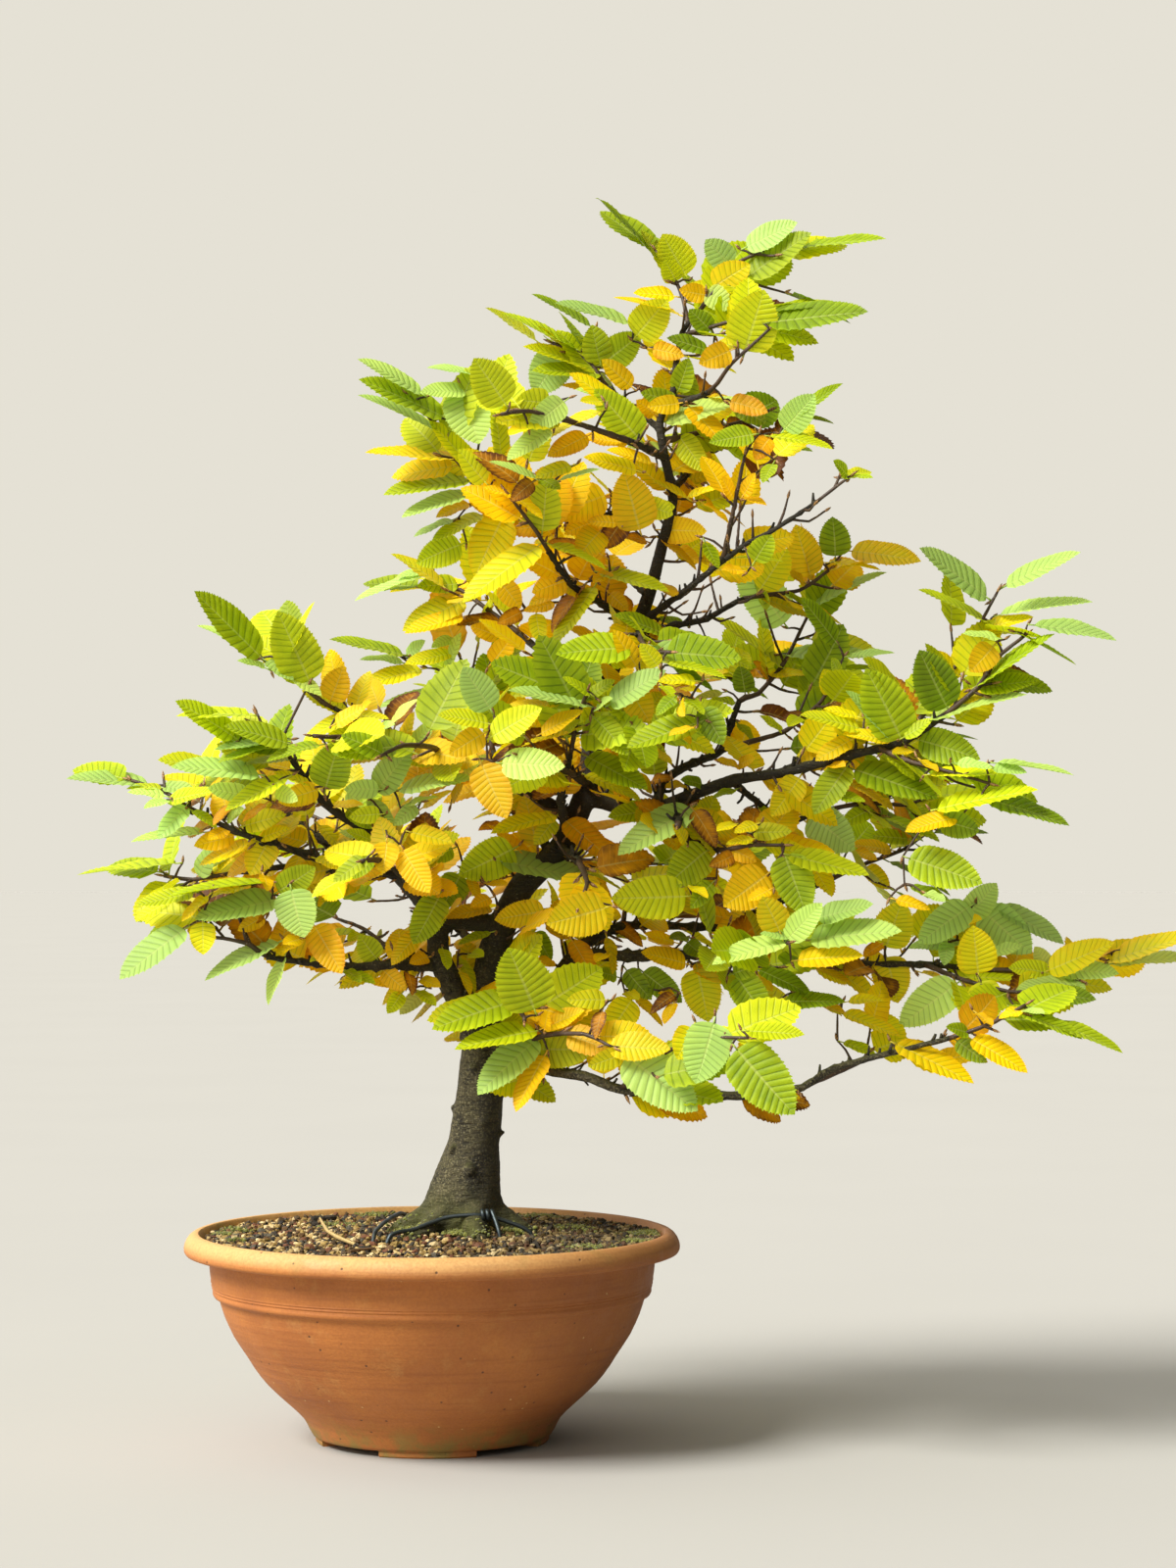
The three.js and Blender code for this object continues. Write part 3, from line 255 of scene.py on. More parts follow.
# The leaves that show from the front, with six numbers each: x and z of the leaf's foot, how far its tip is
# to the right of it and above it, how wide it looks, and how far it has turned in hundredths, with 100 more
# for a painted sheen. x and z are on the plane through the tree's middle.
SEEN = """
    150 610 15 -23 16 46  150 630 -19 -4 12 72  129 568 17 -5 14 50  150 542 11 -9 9 74
    137 717 -37 37 7 30  154 708 -15 23 23 50  181 714 -14 15 18 130  191 725 30 13 16 130
    193 708 36 24 20 36  223 725 51 4 10 30  171 701 21 13 19 64  148 704 -6 12 16 44  166 696 -16 1 12 76
    167 698 15 -10 16 155  147 695 -25 2 10 64  124 671 18 21 25 50  190 662 11 35 32 50
    205 679 58 5 19 24  119 679 -44 10 11 130  102 655 -6 21 24 42  103 654 24 16 21 36
    121 640 -18 15 13 70  134 663 19 -4 11 80  167 662 -24 8 11 20  181 662 -19 -9 16 76
    169 674 -12 13 13 25  149 637 8 19 14 32  148 630 -21 7 12 30  142 619 45 11 14 145
    181 631 23 -6 13 84  185 629 17 -12 13 22  214 614 18 20 19 130  217 619 30 23 8 30
    205 610 38 -5 8 45  195 611 -27 -5 14 30  205 609 -10 -13 12 84  166 583 -18 27 23 54
    142 602 -24 2 7 142  126 608 -27 29 23 36  135 623 -10 8 10 78  118 606 -27 2 10 78
    133 594 -27 8 8 68  174 621 -17 -6 6 172  96 677 -35 18 8 28  87 663 -44 21 8 38  94 652 -37 14 10 55
    78 660 -16 -25 25 130  102 648 -41 2 13 38  44 630 -18 26 25 46  24 648 -26 5 6 132
    -7 636 -36 22 10 142  6 622 -49 22 16 34  2 613 -45 23 7 136  18 638 10 -34 31 144
    20 637 -27 0 11 148  42 595 -4 38 11 50  71 630 -20 2 17 48  80 631 -21 -17 17 144
    71 614 -25 -20 13 146  102 625 -35 -15 8 60  94 610 -24 -12 14 80  14 596 -54 3 10 66
    26 589 -27 29 14 50  35 586 -15 16 14 58  56 615 -10 -4 6 60  118 630 -30 10 8 136
    102 631 -11 -1 7 58  22 583 -51 -7 13 36  22 575 -41 -13 11 140  22 569 -20 -8 8 80
    12 559 -23 -10 6 132  17 544 -27 -11 19 40  30 562 -31 -16 10 46  43 561 -18 -37 26 60
    64 543 -45 -35 20 56  19 510 -37 -18 18 56  18 500 -35 -9 11 70  15 520 -24 -2 12 38
    -6 525 -41 -14 7 132  -3 527 -19 -1 5 140  105 574 -33 -14 23 66  105 570 -27 11 13 58
    126 553 -10 34 27 68  112 557 -18 2 8 72  116 559 -12 -16 16 93  90 540 -18 7 10 90
    104 537 -17 11 12 76  72 544 34 -13 7 48  74 557 -21 2 8 36  47 563 -24 5 13 76  47 575 21 -13 7 68
    61 582 -13 -10 11 92  48 574 -17 5 6 72  65 583 -30 12 6 134  66 584 11 -7 8 36  84 592 -22 -7 10 58
    77 583 24 7 4 136  32 582 -17 18 14 50  35 589 -13 11 12 54  37 593 7 -11 10 148  42 520 12 -14 14 72
    81 522 -20 -7 16 74  77 515 -19 -6 8 66  74 508 -18 -4 8 74  63 502 2 -19 11 56  92 519 -24 -24 8 91
    98 518 -25 -36 13 50  54 503 -12 -7 10 90  40 488 -16 7 11 74  36 472 14 16 14 74  12 487 -13 -5 7 132
    9 469 8 21 8 146  11 478 -27 -7 10 54  -18 477 -43 10 8 34  -16 477 12 7 8 134  -18 472 -25 5 5 142
    -7 468 -36 -10 12 60  35 444 -16 25 21 130  65 464 -20 6 12 38  120 481 -45 -2 19 34
    124 470 -14 21 13 74  71 476 27 -16 8 32  83 464 24 5 10 42  140 490 -29 12 10 32
    102 527 42 -11 11 46  108 527 -10 -6 7 74  108 514 10 -10 10 74  124 589 -32 8 12 60
    118 590 -20 10 6 36  158 587 -29 1 7 146  157 583 18 6 8 60  155 572 -21 12 5 62  155 573 20 7 5 62
    183 572 -8 12 8 76  189 574 7 12 8 76  188 572 14 -1 4 78  207 593 -7 -11 8 34  165 569 16 -10 4 72
    130 565 17 1 12 46  139 553 27 -2 17 70  139 547 23 -16 5 74  130 546 -12 4 6 90  166 545 7 -16 8 32
    196 534 9 16 16 36  184 536 29 -2 3 48  189 528 -12 1 6 76  230 525 -10 30 21 68  245 537 -1 23 24 26
    255 540 41 -5 16 66  240 533 32 -2 4 62  232 507 41 22 7 130  214 496 -28 36 27 134
    245 485 -21 26 14 26  213 469 -41 32 8 46  215 477 52 0 10 142  254 476 26 2 5 134  247 464 -4 11 7 36
    135 482 43 -13 13 130  162 488 -25 -3 8 22  153 495 -16 5 6 18  137 470 -10 14 11 54
    143 472 35 -6 7 44  147 469 24 -11 6 22  178 476 17 -6 7 42  190 454 -2 16 18 20  204 463 -7 11 5 88
    205 465 25 1 6 64  226 521 -9 5 6 76  108 447 33 20 16 130  252 586 -7 8 7 30  252 585 14 1 4 34
    244 454 -7 13 17 58  160 461 -23 2 7 58  337 512 -42 29 17 132  337 497 -41 21 7 44
    349 519 42 21 11 138  345 501 53 11 7 140  335 493 29 7 8 64  344 487 -21 4 5 142
    341 482 -14 -16 17 74  331 458 44 32 6 30  333 456 34 7 12 40  366 495 48 -6 10 130
    358 489 32 -18 4 34  313 445 -19 33 27 24  321 464 -18 16 10 64  -105 476 -38 38 18 34
    -111 481 -29 16 5 140  -102 469 -15 7 4 140  -101 473 17 -11 8 136  -75 461 -18 41 29 42
    -87 465 20 -13 8 154  -62 449 8 20 20 74  -121 427 -33 23 14 38  -88 423 -37 12 13 36
    -90 425 -42 -5 7 130  -106 404 -51 7 12 130  -94 422 -36 -8 5 38  -86 413 -31 0 5 46
    -69 422 -32 -6 7 30  -65 396 8 28 32 32  -49 441 -29 -17 10 52  -45 435 -16 -8 8 68
    -59 435 18 10 10 70  -31 417 -23 12 13 26  -173 398 -47 7 8 132  -163 391 -21 5 5 146
    -164 397 20 -2 8 136  -165 396 -20 3 4 46  -161 388 -12 -1 4 140  -161 388 29 7 9 44
    -150 385 -16 -20 13 128  -112 391 -24 4 12 146  -89 402 -36 -19 12 46  -123 385 -10 -10 6 88
    -102 386 -13 -10 5 86  -70 395 -23 -8 14 66  -95 395 13 -8 10 152  -75 398 -20 10 5 56
    -114 373 25 7 13 52  -125 371 -10 -6 8 74  -61 385 19 2 5 70  -52 383 16 -10 10 32  -53 388 14 8 8 134
    -146 382 16 -8 5 40  -125 377 10 6 7 138  22 457 -57 -10 7 134  94 446 -47 11 8 134  77 447 -32 1 6 66
    96 452 14 10 8 42  96 453 -16 11 6 44  99 444 8 8 3 148  120 456 11 -20 20 72  99 438 21 -21 16 40
    162 436 -44 -15 16 36  -25 435 14 16 5 160  -19 420 8 22 8 66  -47 440 20 -1 6 56  -47 441 10 8 5 74
    -13 422 14 13 10 140  -34 431 10 6 4 134  34 435 -30 7 11 50  30 442 -27 4 8 78  36 427 30 18 18 48
    35 423 1 19 10 50  66 429 25 14 10 74  89 433 -36 -8 7 62  80 429 8 8 5 44  42 411 38 -2 20 145
    47 417 17 7 5 66  31 429 -21 -12 16 72  10 416 -27 -4 13 46  23 413 -21 -7 8 78  -34 394 23 27 19 132
    -20 395 45 7 10 138  -33 395 -20 1 12 136  -39 389 16 -16 8 138  -10 385 -13 -12 10 140
    -32 380 -18 -1 11 46  -6 384 17 12 5 68  12 388 5 11 5 66  -16 385 18 8 3 160  19 404 14 12 6 158
    30 410 14 -33 23 76  43 407 7 -14 13 76  80 392 3 27 20 78  94 415 36 -20 17 34  93 404 35 -13 8 52
    105 395 19 -12 12 44  137 383 -30 -5 14 34  75 379 -39 -8 11 58  74 377 -11 -16 12 54
    42 374 -12 -1 5 92  81 376 27 -24 16 84  157 384 -44 -29 19 136  -13 369 25 -6 11 62
    -28 363 -1 -19 19 70  -18 358 16 -26 18 72  49 359 -32 -17 25 38  12 359 -13 -6 12 34
    17 343 -11 -20 20 30  42 351 61 -11 14 124  46 342 -18 -1 5 95  23 340 5 -10 6 72  34 338 12 0 4 74
    114 353 -5 -10 7 72  -37 353 -13 -12 10 34  -47 361 10 -7 7 62  -37 364 -14 6 7 44
    -34 371 11 -6 5 140  35 329 -12 -4 8 78  140 458 8 -8 6 42  176 454 -18 -3 5 158  184 448 -16 2 5 36
    285 426 -21 42 30 36  278 427 -25 29 9 126  260 432 -36 10 10 50  278 425 -28 5 8 64
    254 425 -21 -12 11 66  223 429 9 -10 3 66  230 420 -12 -12 7 60  259 439 -21 5 6 58
    223 439 -8 -4 7 46  252 448 -16 -1 5 93  226 441 -11 2 2 94  213 430 -13 11 5 46  186 435 10 -10 5 40
    164 444 13 -21 17 26  155 450 11 -8 5 40  147 451 -12 -10 8 28  151 448 -1 -6 3 66
    135 404 -2 21 17 36  148 433 9 -9 5 74  158 433 -14 -4 4 74  183 423 8 -8 7 40  186 409 -13 4 5 76
    186 410 8 4 7 76  133 400 11 4 5 90  153 398 -10 -1 5 74  164 398 -12 4 7 24  184 395 -14 -4 4 34
    223 402 -16 -24 18 60  252 409 -21 -29 18 36  257 407 49 -17 20 28  251 401 23 -14 6 74
    244 392 19 -4 6 34  241 410 7 1 4 76  196 383 11 -6 8 34  195 369 23 0 11 52  197 374 -14 -5 7 60
    184 374 -10 -1 4 60  182 374 -8 7 5 72  159 382 14 -20 13 92  195 365 -17 -2 5 60  179 360 18 -8 11 76
    183 355 -13 -7 10 90  154 363 -6 11 7 62  167 358 -25 -20 24 38  230 379 26 -20 25 132
    267 383 -19 -8 11 36  217 373 8 -5 2 60  214 355 13 -36 25 33  217 355 47 -12 14 46
    279 358 -25 5 8 74  257 358 12 -6 7 76  264 348 14 -13 11 64  289 365 -23 2 10 34  290 370 -19 7 6 88
    318 378 -32 -7 11 72  203 343 -26 -19 26 72  170 338 -14 -14 12 30  157 336 9 -4 4 62
    205 334 -13 -6 7 72  233 347 6 -7 5 76  120 353 13 -7 5 30  277 415 17 -13 7 46  291 419 -12 -2 5 68
    302 437 56 19 7 148  335 456 -14 -8 8 66  296 425 36 -10 21 32  287 427 17 10 8 40
    319 411 21 -2 6 128  343 411 45 -5 4 142  303 404 41 2 7 52  341 408 20 -2 7 130  307 383 58 14 11 44
    337 389 49 -13 12 22  309 376 23 -5 17 24  290 386 11 -8 7 46  290 353 43 -14 24 32
    291 336 23 -8 7 26  300 332 10 -4 6 140  282 328 20 -5 7 74  297 413 8 -6 5 70  -139 369 -43 -2 6 142
    -156 350 -62 -5 5 40  -121 367 -23 -7 13 70  -142 342 11 22 12 134  -136 348 23 16 7 40
    -100 364 -10 -21 20 62  -131 346 13 12 5 64  -105 365 18 8 8 60  -142 340 20 1 8 72
    -102 338 -57 -4 4 38  -114 336 -24 -5 5 66  -146 332 -33 -7 10 46  -160 327 -20 -11 8 50
    -137 330 -16 -14 7 68  -95 328 -48 -11 17 132  -86 334 7 -29 27 130  -94 333 23 14 18 36
    -52 336 -16 -8 7 52  -103 318 -14 -10 10 76  -140 314 1 -19 20 56  -151 310 -38 -29 18 128
    -94 302 -44 -20 10 132  -82 303 -13 -8 6 68  -81 304 -8 -2 7 70  -90 293 -12 -27 8 146
    -72 312 18 -28 20 80  -41 353 -19 -14 11 40  -71 353 18 -5 6 60  -69 373 24 -21 8 56
    -83 373 15 -10 5 62  -55 370 12 -5 5 146  -43 307 -8 -2 5 46  -62 295 -11 -2 4 44  -53 285 11 -5 5 36
    -103 343 6 -7 4 76  4 330 -14 -29 20 34  -7 309 -19 -19 12 66  -34 292 -11 14 17 40
    36 322 -29 -2 8 72  68 321 -30 -5 17 66  66 315 -14 -1 6 78  105 323 -35 -11 27 64
    154 330 -45 -2 27 48  35 308 -20 -5 5 40  62 308 11 -17 12 26  62 261 -15 38 36 40  63 292 11 -4 6 74
    49 266 -49 -14 20 36  63 248 -49 -7 12 44  63 243 -36 -32 20 132  68 233 -19 -32 14 78
    62 237 37 0 23 44  115 234 -20 -8 13 56  108 239 36 -2 17 62  68 250 24 11 10 68  68 249 2 11 8 76
    121 267 -17 -26 20 56  105 267 -23 1 12 54  103 260 -5 -14 8 92  85 303 14 -23 12 84
    106 305 7 -21 6 66  105 295 -6 -2 4 68  118 285 14 -18 13 26  128 284 23 -18 16 22  112 281 -11 4 8 30
    111 312 18 -8 8 92  6 298 5 -11 6 46  17 292 10 -20 6 52  23 295 8 1 5 44  17 284 8 -11 4 66
    -30 285 13 -12 12 76  -19 277 -19 1 7 74  -7 280 11 -4 7 68  -3 293 -10 -2 8 80  -15 283 5 -6 4 92
    -6 272 -13 -14 10 176  -19 271 -7 -12 10 44  -9 272 12 -7 6 44  -53 285 19 -6 6 36
    118 233 42 -33 30 136  59 259 -12 -2 6 76  122 270 18 -18 5 72  118 272 6 -4 7 58  182 316 -24 5 11 76
    211 309 -10 21 23 62  189 320 -18 -14 10 66  214 302 -45 -10 11 146  216 305 -17 4 5 130
    216 304 20 22 16 140  235 317 32 8 12 132  230 304 54 6 16 138  276 299 8 29 25 54  222 291 39 5 13 68
    221 292 33 -14 5 66  245 289 16 2 7 44  276 293 7 -27 33 62  273 301 -11 -6 7 86  183 283 17 6 12 34
    168 291 16 -12 7 30  159 289 21 -12 10 74  154 289 -27 8 12 72  161 286 6 -32 24 56
    155 302 8 -8 11 24  199 285 31 -13 10 24  214 266 36 1 10 24  185 281 19 -26 21 30
    224 270 27 -11 5 76  248 259 -11 5 4 60  250 259 33 -13 8 62  253 266 20 4 5 62  250 241 20 -6 6 40
    192 248 33 -1 10 46  185 237 33 -39 33 30  171 253 -10 -36 29 130  158 250 -10 -18 17 60
    140 272 6 -2 4 76  147 265 -7 -11 6 76  147 270 -13 -6 7 95  147 302 -18 5 7 70  155 305 -11 2 5 28
    221 296 5 6 3 64  214 296 -12 4 4 90  282 240 46 -21 14 66  326 318 16 20 18 140
    327 324 -33 -21 20 130  321 302 -33 -2 7 128  313 302 -2 -13 10 130  332 283 -4 29 26 60
    323 314 7 4 4 66  335 321 27 -26 26 128  345 323 38 -20 13 130  340 295 17 7 7 142
    375 285 38 17 16 60  375 286 -10 13 11 168  413 291 48 18 10 62  414 289 47 7 7 158
    395 289 17 11 3 78  376 283 -26 6 12 48  391 278 -38 -4 8 150  381 285 35 0 12 134  388 279 7 -6 8 138
    366 271 36 -2 12 24  333 278 8 -23 27 52  319 277 -36 -25 23 142  359 261 -16 -4 5 66
    359 261 12 0 3 150  331 259 8 -6 5 74  358 259 36 -13 8 34  380 252 39 -13 8 36  326 247 -13 4 8 30
    319 242 17 -13 12 26  328 243 33 -18 14 68
"""


def linear(code):
    """A linear colour from an sRGB hex value."""
    parts = [((code >> shift) & 255) / 255 for shift in (16, 8, 0)]
    return [p / 12.92 if p <= 0.04045 else ((p + 0.055) / 1.055) ** 2.4 for p in parts]


def colour_prop(name, description, code):
    return bpy.props.FloatVectorProperty(
        name=name, description=description, default=linear(code), subtype="COLOR", size=3, min=0, max=1
    )


def length_prop(name, description, millimetres):
    return bpy.props.FloatProperty(
        name=name, description=description, default=millimetres * MM, min=0, subtype="DISTANCE", unit="LENGTH"
    )


def strength_prop(name, description, strength):
    return bpy.props.FloatProperty(name=name, description=description, default=strength, min=0)


def count_prop(name, description, count, least):
    return bpy.props.IntProperty(name=name, description=description, default=count, min=least)


class PotSettings(bpy.types.PropertyGroup):
    clay: colour_prop("Clay", "Colour of the fired clay", 0xB8702F)
    clay_deep: colour_prop("Deep clay", "Darker, more fired patches", 0x8F4E20)
    bloom_and_sheen: colour_prop("Bloom", "Pale lime bloom on the clay", 0xE6C47C)
    algae: colour_prop("Algae", "Green film by the foot and on the lip", 0x7A7434)
    segments: count_prop("Segments", "Facets round the bowl", 192, 24)


class SoilSettings(bpy.types.PropertyGroup):
    humus: colour_prop("Humus", "Fine stuff between the grains", 0x2E2416)
    moss: colour_prop("Moss", "Colour of the moss", 0x666A1C)
    pitch: length_prop("Grain pitch", "Mean distance between grains of grit", 3.6)
    coarse: length_prop("Coarse grain", "Radius of the largest grains", 3.2)


class WoodSettings(bpy.types.PropertyGroup):
    bark: colour_prop("Bark", "Smooth grey bark of the trunk", 0x554D33)
    # Dark bark is also the colour of the painted shade on the trunk's side away from the key light.
    bark_dark: colour_prop("Dark bark", "Hollows and old patches of the bark", 0x1E1910)
    twig: colour_prop("Twig", "Bark of the young twigs", 0x38281B)
    voxel: length_prop("Voxel", "Step of the joined trunk's surface", 1.25)


class LeafSettings(bpy.types.PropertyGroup):
    fresh: colour_prop("Fresh green", "Least turned leaves", 0x809A08)
    green: colour_prop("Green", "Green leaves", 0xB0C20C)
    lime: colour_prop("Lime", "Leaves that begin to turn", 0xD6DC12)
    yellow: colour_prop("Yellow", "Yellow leaves", 0xF8D002)
    amber: colour_prop("Amber", "Orange leaves", 0xF6C004)
    dead: colour_prop("Dead", "Dead leaves", 0x643814)
    # The leaf bloom colour is a painted sheen: the pale reflection of the sky on the upper side of some
    # leaves.
    bloom_and_sheen: colour_prop("Leaf bloom", "Waxy bloom on the upper side of some leaves", 0xC2E782)
    veins: count_prop("Vein pairs", "Side veins on each half of a leaf", 12, 4)
    pleat: length_prop("Pleat", "Depth of the pleats between the veins", 0.3)


class WireSettings(bpy.types.PropertyGroup):
    anodised: colour_prop("Anodised", "Dark anodised skin of the wire", 0x42494A)


class StageSettings(bpy.types.PropertyGroup):
    floor: colour_prop("Floor", "Colour of the floor", 0xABA8A0)
    sky: colour_prop("Surround", "Colour of the light all round", 0xECEBE7)
    backdrop: colour_prop("Backdrop", "Plain colour behind the tree, that of the floor far off", 0xE5E1D5)
    key: strength_prop("Key light", "Strength of the main soft light", 5.2)
    fill: strength_prop("Fill light", "Strength of the weaker light", 0.08)
    surround: strength_prop("Surround strength", "Strength of the light all round", 0.75)


# Numbers and lines


def mix(a, b, t):
    return a + (b - a) * t


def unit(v):
    return v / np.linalg.norm(v)


def seeded(seed):
    """A seeded draw of numbers from 0 to 1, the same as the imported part's."""
    state = seed & 0xFFFFFFFF

    def draw():
        nonlocal state
        state = (state + 0x6D2B79F5) & 0xFFFFFFFF
        t = ((state ^ (state >> 15)) * (state | 1)) & 0xFFFFFFFF
        t ^= (t + (((t ^ (t >> 7)) * (t | 61)) & 0xFFFFFFFF)) & 0xFFFFFFFF
        return ((t ^ (t >> 14)) & 0xFFFFFFFF) / 4294967296

    return draw


def read_path(text):
    return np.array(text.split(), float).reshape(-1, 3)


def sums_of(path):
    return np.concatenate([[0], np.cumsum(np.linalg.norm(np.diff(path, axis=0), axis=1))])


def spline(path, i, t, bend=0.6):
    """The point at share t of stretch i: part of the way from the straight line to the smooth curve."""
    b, c = path[i], path[i + 1]
    a = path[i - 1] if i > 0 else 2 * b - c
    d = path[i + 2] if i + 2 < len(path) else 2 * c - b
    curve = 0.5 * (2 * b + (c - a) * t + (2 * a - 5 * b + 4 * c - d) * t**2 + (3 * b - a - 3 * c + d) * t**3)
    return mix(mix(b, c, t), curve, bend)


def fine_line(path, radii, first=0, last=None, step=3.0):
    """Closely spaced points of the smooth line, and the radius at each."""
    last = len(path) - 1 if last is None else last
    points, sizes = [], []
    for i in range(first, last):
        count = max(2, int(np.linalg.norm(path[i + 1] - path[i]) / step))
        for k in range(count):
            points.append(spline(path, i, k / count))
            sizes.append(mix(radii[i], radii[i + 1], k / count))
    return np.array(points + [path[last]]), np.array(sizes + [radii[last]])


def level_way(degrees):
    """The level direction at a compass angle."""
    return np.array([math.cos(math.radians(degrees)), math.sin(math.radians(degrees)), 0])


def from_foot(x, y):
    """How far places on the soil are from the trunk's middle."""
    return np.hypot(x - TRUNK_FOOT[0], y - TRUNK_FOOT[1])


def offshoot(tangent, random, lean):
    """A random way off a twig or limb: mostly across it and a little upward."""
    way = unit(random.normal(size=3) + [0, 0, 0.5])
    return unit(way - tangent * way.dot(tangent) + lean * tangent)


# Meshes. A part is a dict of vertices in millimetres, faces, a material index and what its material reads.


def part(vertices, faces, material=0, uv=None, state=None):
    count = len(vertices)
    return {
        "v": np.asarray(vertices, float),
        "f": faces if isinstance(faces, list) else faces.tolist(),
        "m": material,
        "uv": np.zeros((count, 2)) if uv is None else np.asarray(uv, float),
        "state": np.tile(np.zeros(3) if state is None else np.asarray(state, float), (count, 1)),
    }


def ring_faces(rows, count):
    """Faces between closed rings of points, in rows."""
    faces = []
    for i in range(rows - 1):
        for k in range(count):
            n = (k + 1) % count
            faces.append([i * count + k, i * count + n, (i + 1) * count + n, (i + 1) * count + k])
    return faces


def flipped(faces):
    """Faces of four points that look the other way."""
    return [[a, d, c, b] for a, b, c, d in faces]


def tube(points, radii, sides, material=0, state=None, rough=0.0, seed=0):
    """A closed tube round a line of points. rough is how uneven its skin is, as a share of its radius."""
    points, radii = np.asarray(points, float), np.asarray(radii, float)
    count = len(points)
    tangents = np.gradient(points, axis=0)
    tangents /= np.linalg.norm(tangents, axis=1)[:, None]
    side = np.cross([0.0, 0.0, 1.0], tangents[0])
    if np.linalg.norm(side) < 0.2:
        side = np.array([1.0, 0.0, 0.0])
    across = np.zeros((count, 3))
    for i in range(count):
        side = unit(side - tangents[i] * side.dot(tangents[i]))
        across[i] = side
    up = np.cross(tangents, across)
    angle = 2 * np.pi * (np.arange(sides) + 0.5) / sides
    spread = radii[:, None] * np.ones(sides)
    if rough:
        random = np.random.default_rng(seed)
        spread = spread * (1 + rough * (random.random((count, sides)) - 0.5))
    rings = points[:, None] + spread[..., None] * (
        np.cos(angle)[None, :, None] * across[:, None] + np.sin(angle)[None, :, None] * up[:, None]
    )
    vertices = np.concatenate([rings.reshape(-1, 3), points[:1], points[-1:]])
    faces = ring_faces(count, sides)
    start, end = count * sides, count * sides + 1
    last_ring = start - sides
    for k in range(sides):
        n = (k + 1) % sides
        faces += [[start, n, k], [end, last_ring + k, last_ring + n]]
    turn = np.arange(sides)[None] / sides
    uv = np.stack(np.broadcast_arrays(turn, sums_of(points)[:, None] * MM), -1).reshape(-1, 2)
    return part(vertices, faces, material, np.concatenate([uv, uv[:1], uv[-1:]]), state)


def mesh_of(name, parts):
    """One mesh from parts, with their UV map and their state."""
    offset, faces, slots = 0, [], []
    for p in parts:
        faces += [[i + offset for i in f] for f in p["f"]]
        slots += [p["m"]] * len(p["f"])
        offset += len(p["v"])
    mesh = bpy.data.meshes.new(name)
    mesh.from_pydata((np.concatenate([p["v"] for p in parts]) * MM).tolist(), [], faces)
    mesh.polygons.foreach_set("material_index", slots)
    mesh.polygons.foreach_set("use_smooth", np.ones(len(faces), bool))
    corners = np.zeros(len(mesh.loops), np.int32)
    mesh.loops.foreach_get("vertex_index", corners)
    uv = np.concatenate([p["uv"] for p in parts])
    mesh.uv_layers.new(name="Lay").data.foreach_set("uv", uv[corners].ravel())
    state = mesh.attributes.new("state", "FLOAT_VECTOR", "POINT")
    state.data.foreach_set("vector", np.concatenate([p["state"] for p in parts]).ravel())
    mesh.update()
    return mesh


def placed(name, data):
    """A new object in the scene."""
    made = bpy.data.objects.new(name, data)
    bpy.context.scene.collection.objects.link(made)
    return made


def evaluated(piece):
    """The mesh of an object with its modifiers applied."""
    bpy.context.view_layer.update()
    return bpy.data.meshes.new_from_object(piece.evaluated_get(bpy.context.evaluated_depsgraph_get()))


def show(name, mesh, materials, slot, *nodes):
    """Puts a mesh in the scene as a piece that rides on the part and stands for the named nodes."""
    piece = placed(name, mesh)
    for material in materials:
        mesh.materials.append(material)
    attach(piece, "root")
    if nodes:
        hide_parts(*nodes)


# Materials


SOFT = {"interpolation_type": "SMOOTHSTEP"}
COLOURS = {"out": 2, "data_type": "RGBA"}


def add(tree, kind, links=None, out=0, stops=None, **settings):
    """Adds a shader node and returns one of its outputs. links gives its inputs a value or another node's
    output, and stops are a colour ramp's."""
    made = tree.nodes.new("ShaderNode" + kind)
    for name, value in settings.items():
        setattr(made, name, value)
    for name, value in (links or {}).items():
        socket = made.inputs[name]
        if isinstance(value, bpy.types.NodeSocket):
            tree.links.new(value, socket)
        else:
            socket.default_value = (*value, 1) if socket.type == "RGBA" else value
    for i, (position, colour) in enumerate(stops or []):
        ramp = made.color_ramp.elements
        stop = ramp[i] if i < min(2, len(stops)) else ramp.new(position)
        stop.position = position
        stop.color = (*colour, 1)
    return made.outputs[out] if made.outputs else made


def new_material(name):
    """A material with an empty node tree, and the place on the object that its patterns follow."""
    material = bpy.data.materials.new(name)
    material.use_nodes = True
    tree = material.node_tree
    tree.nodes.clear()
    return material, tree, add(tree, "TexCoord", out="Object")


def coat(tree, colour, tint, pattern, low, high, most=1.0, least=0.0):
    """A colour under a tint, whose share goes from least to most as the pattern goes from low to high."""
    share = add(tree, "MapRange", {0: pattern, 1: low, 2: high, 3: least, 4: most}, **SOFT)
    return add(tree, "Mix", {0: share, 6: colour, 7: tint}, **COLOURS)


def both(tree, *bands):
    """The product of two bands. A band is a pattern, its value low and high, and the share at each."""
    shares = [add(tree, "MapRange", dict(enumerate(band)), **SOFT) for band in bands]
    return add(tree, "Math", dict(enumerate(shares)), operation="MULTIPLY")


def finished(material, colour, relief, rough, constants, ends=(0.3, 0.7)):
    """Ends a material. relief is a pattern, its strength and its depth in metres. rough is a pattern and the
    roughness at each of its ends."""
    tree = material.node_tree
    bump = add(tree, "Bump", {"Height": relief[0], "Strength": relief[1], "Distance": relief[2]})
    wear = add(tree, "MapRange", {0: rough[0], 1: ends[0], 2: ends[1], 3: rough[1], 4: rough[2]}, **SOFT)
    links = {"Base Color": colour, "Roughness": wear, "Normal": bump, **constants}
    add(tree, "OutputMaterial", {0: add(tree, "BsdfPrincipled", links)})
    return material


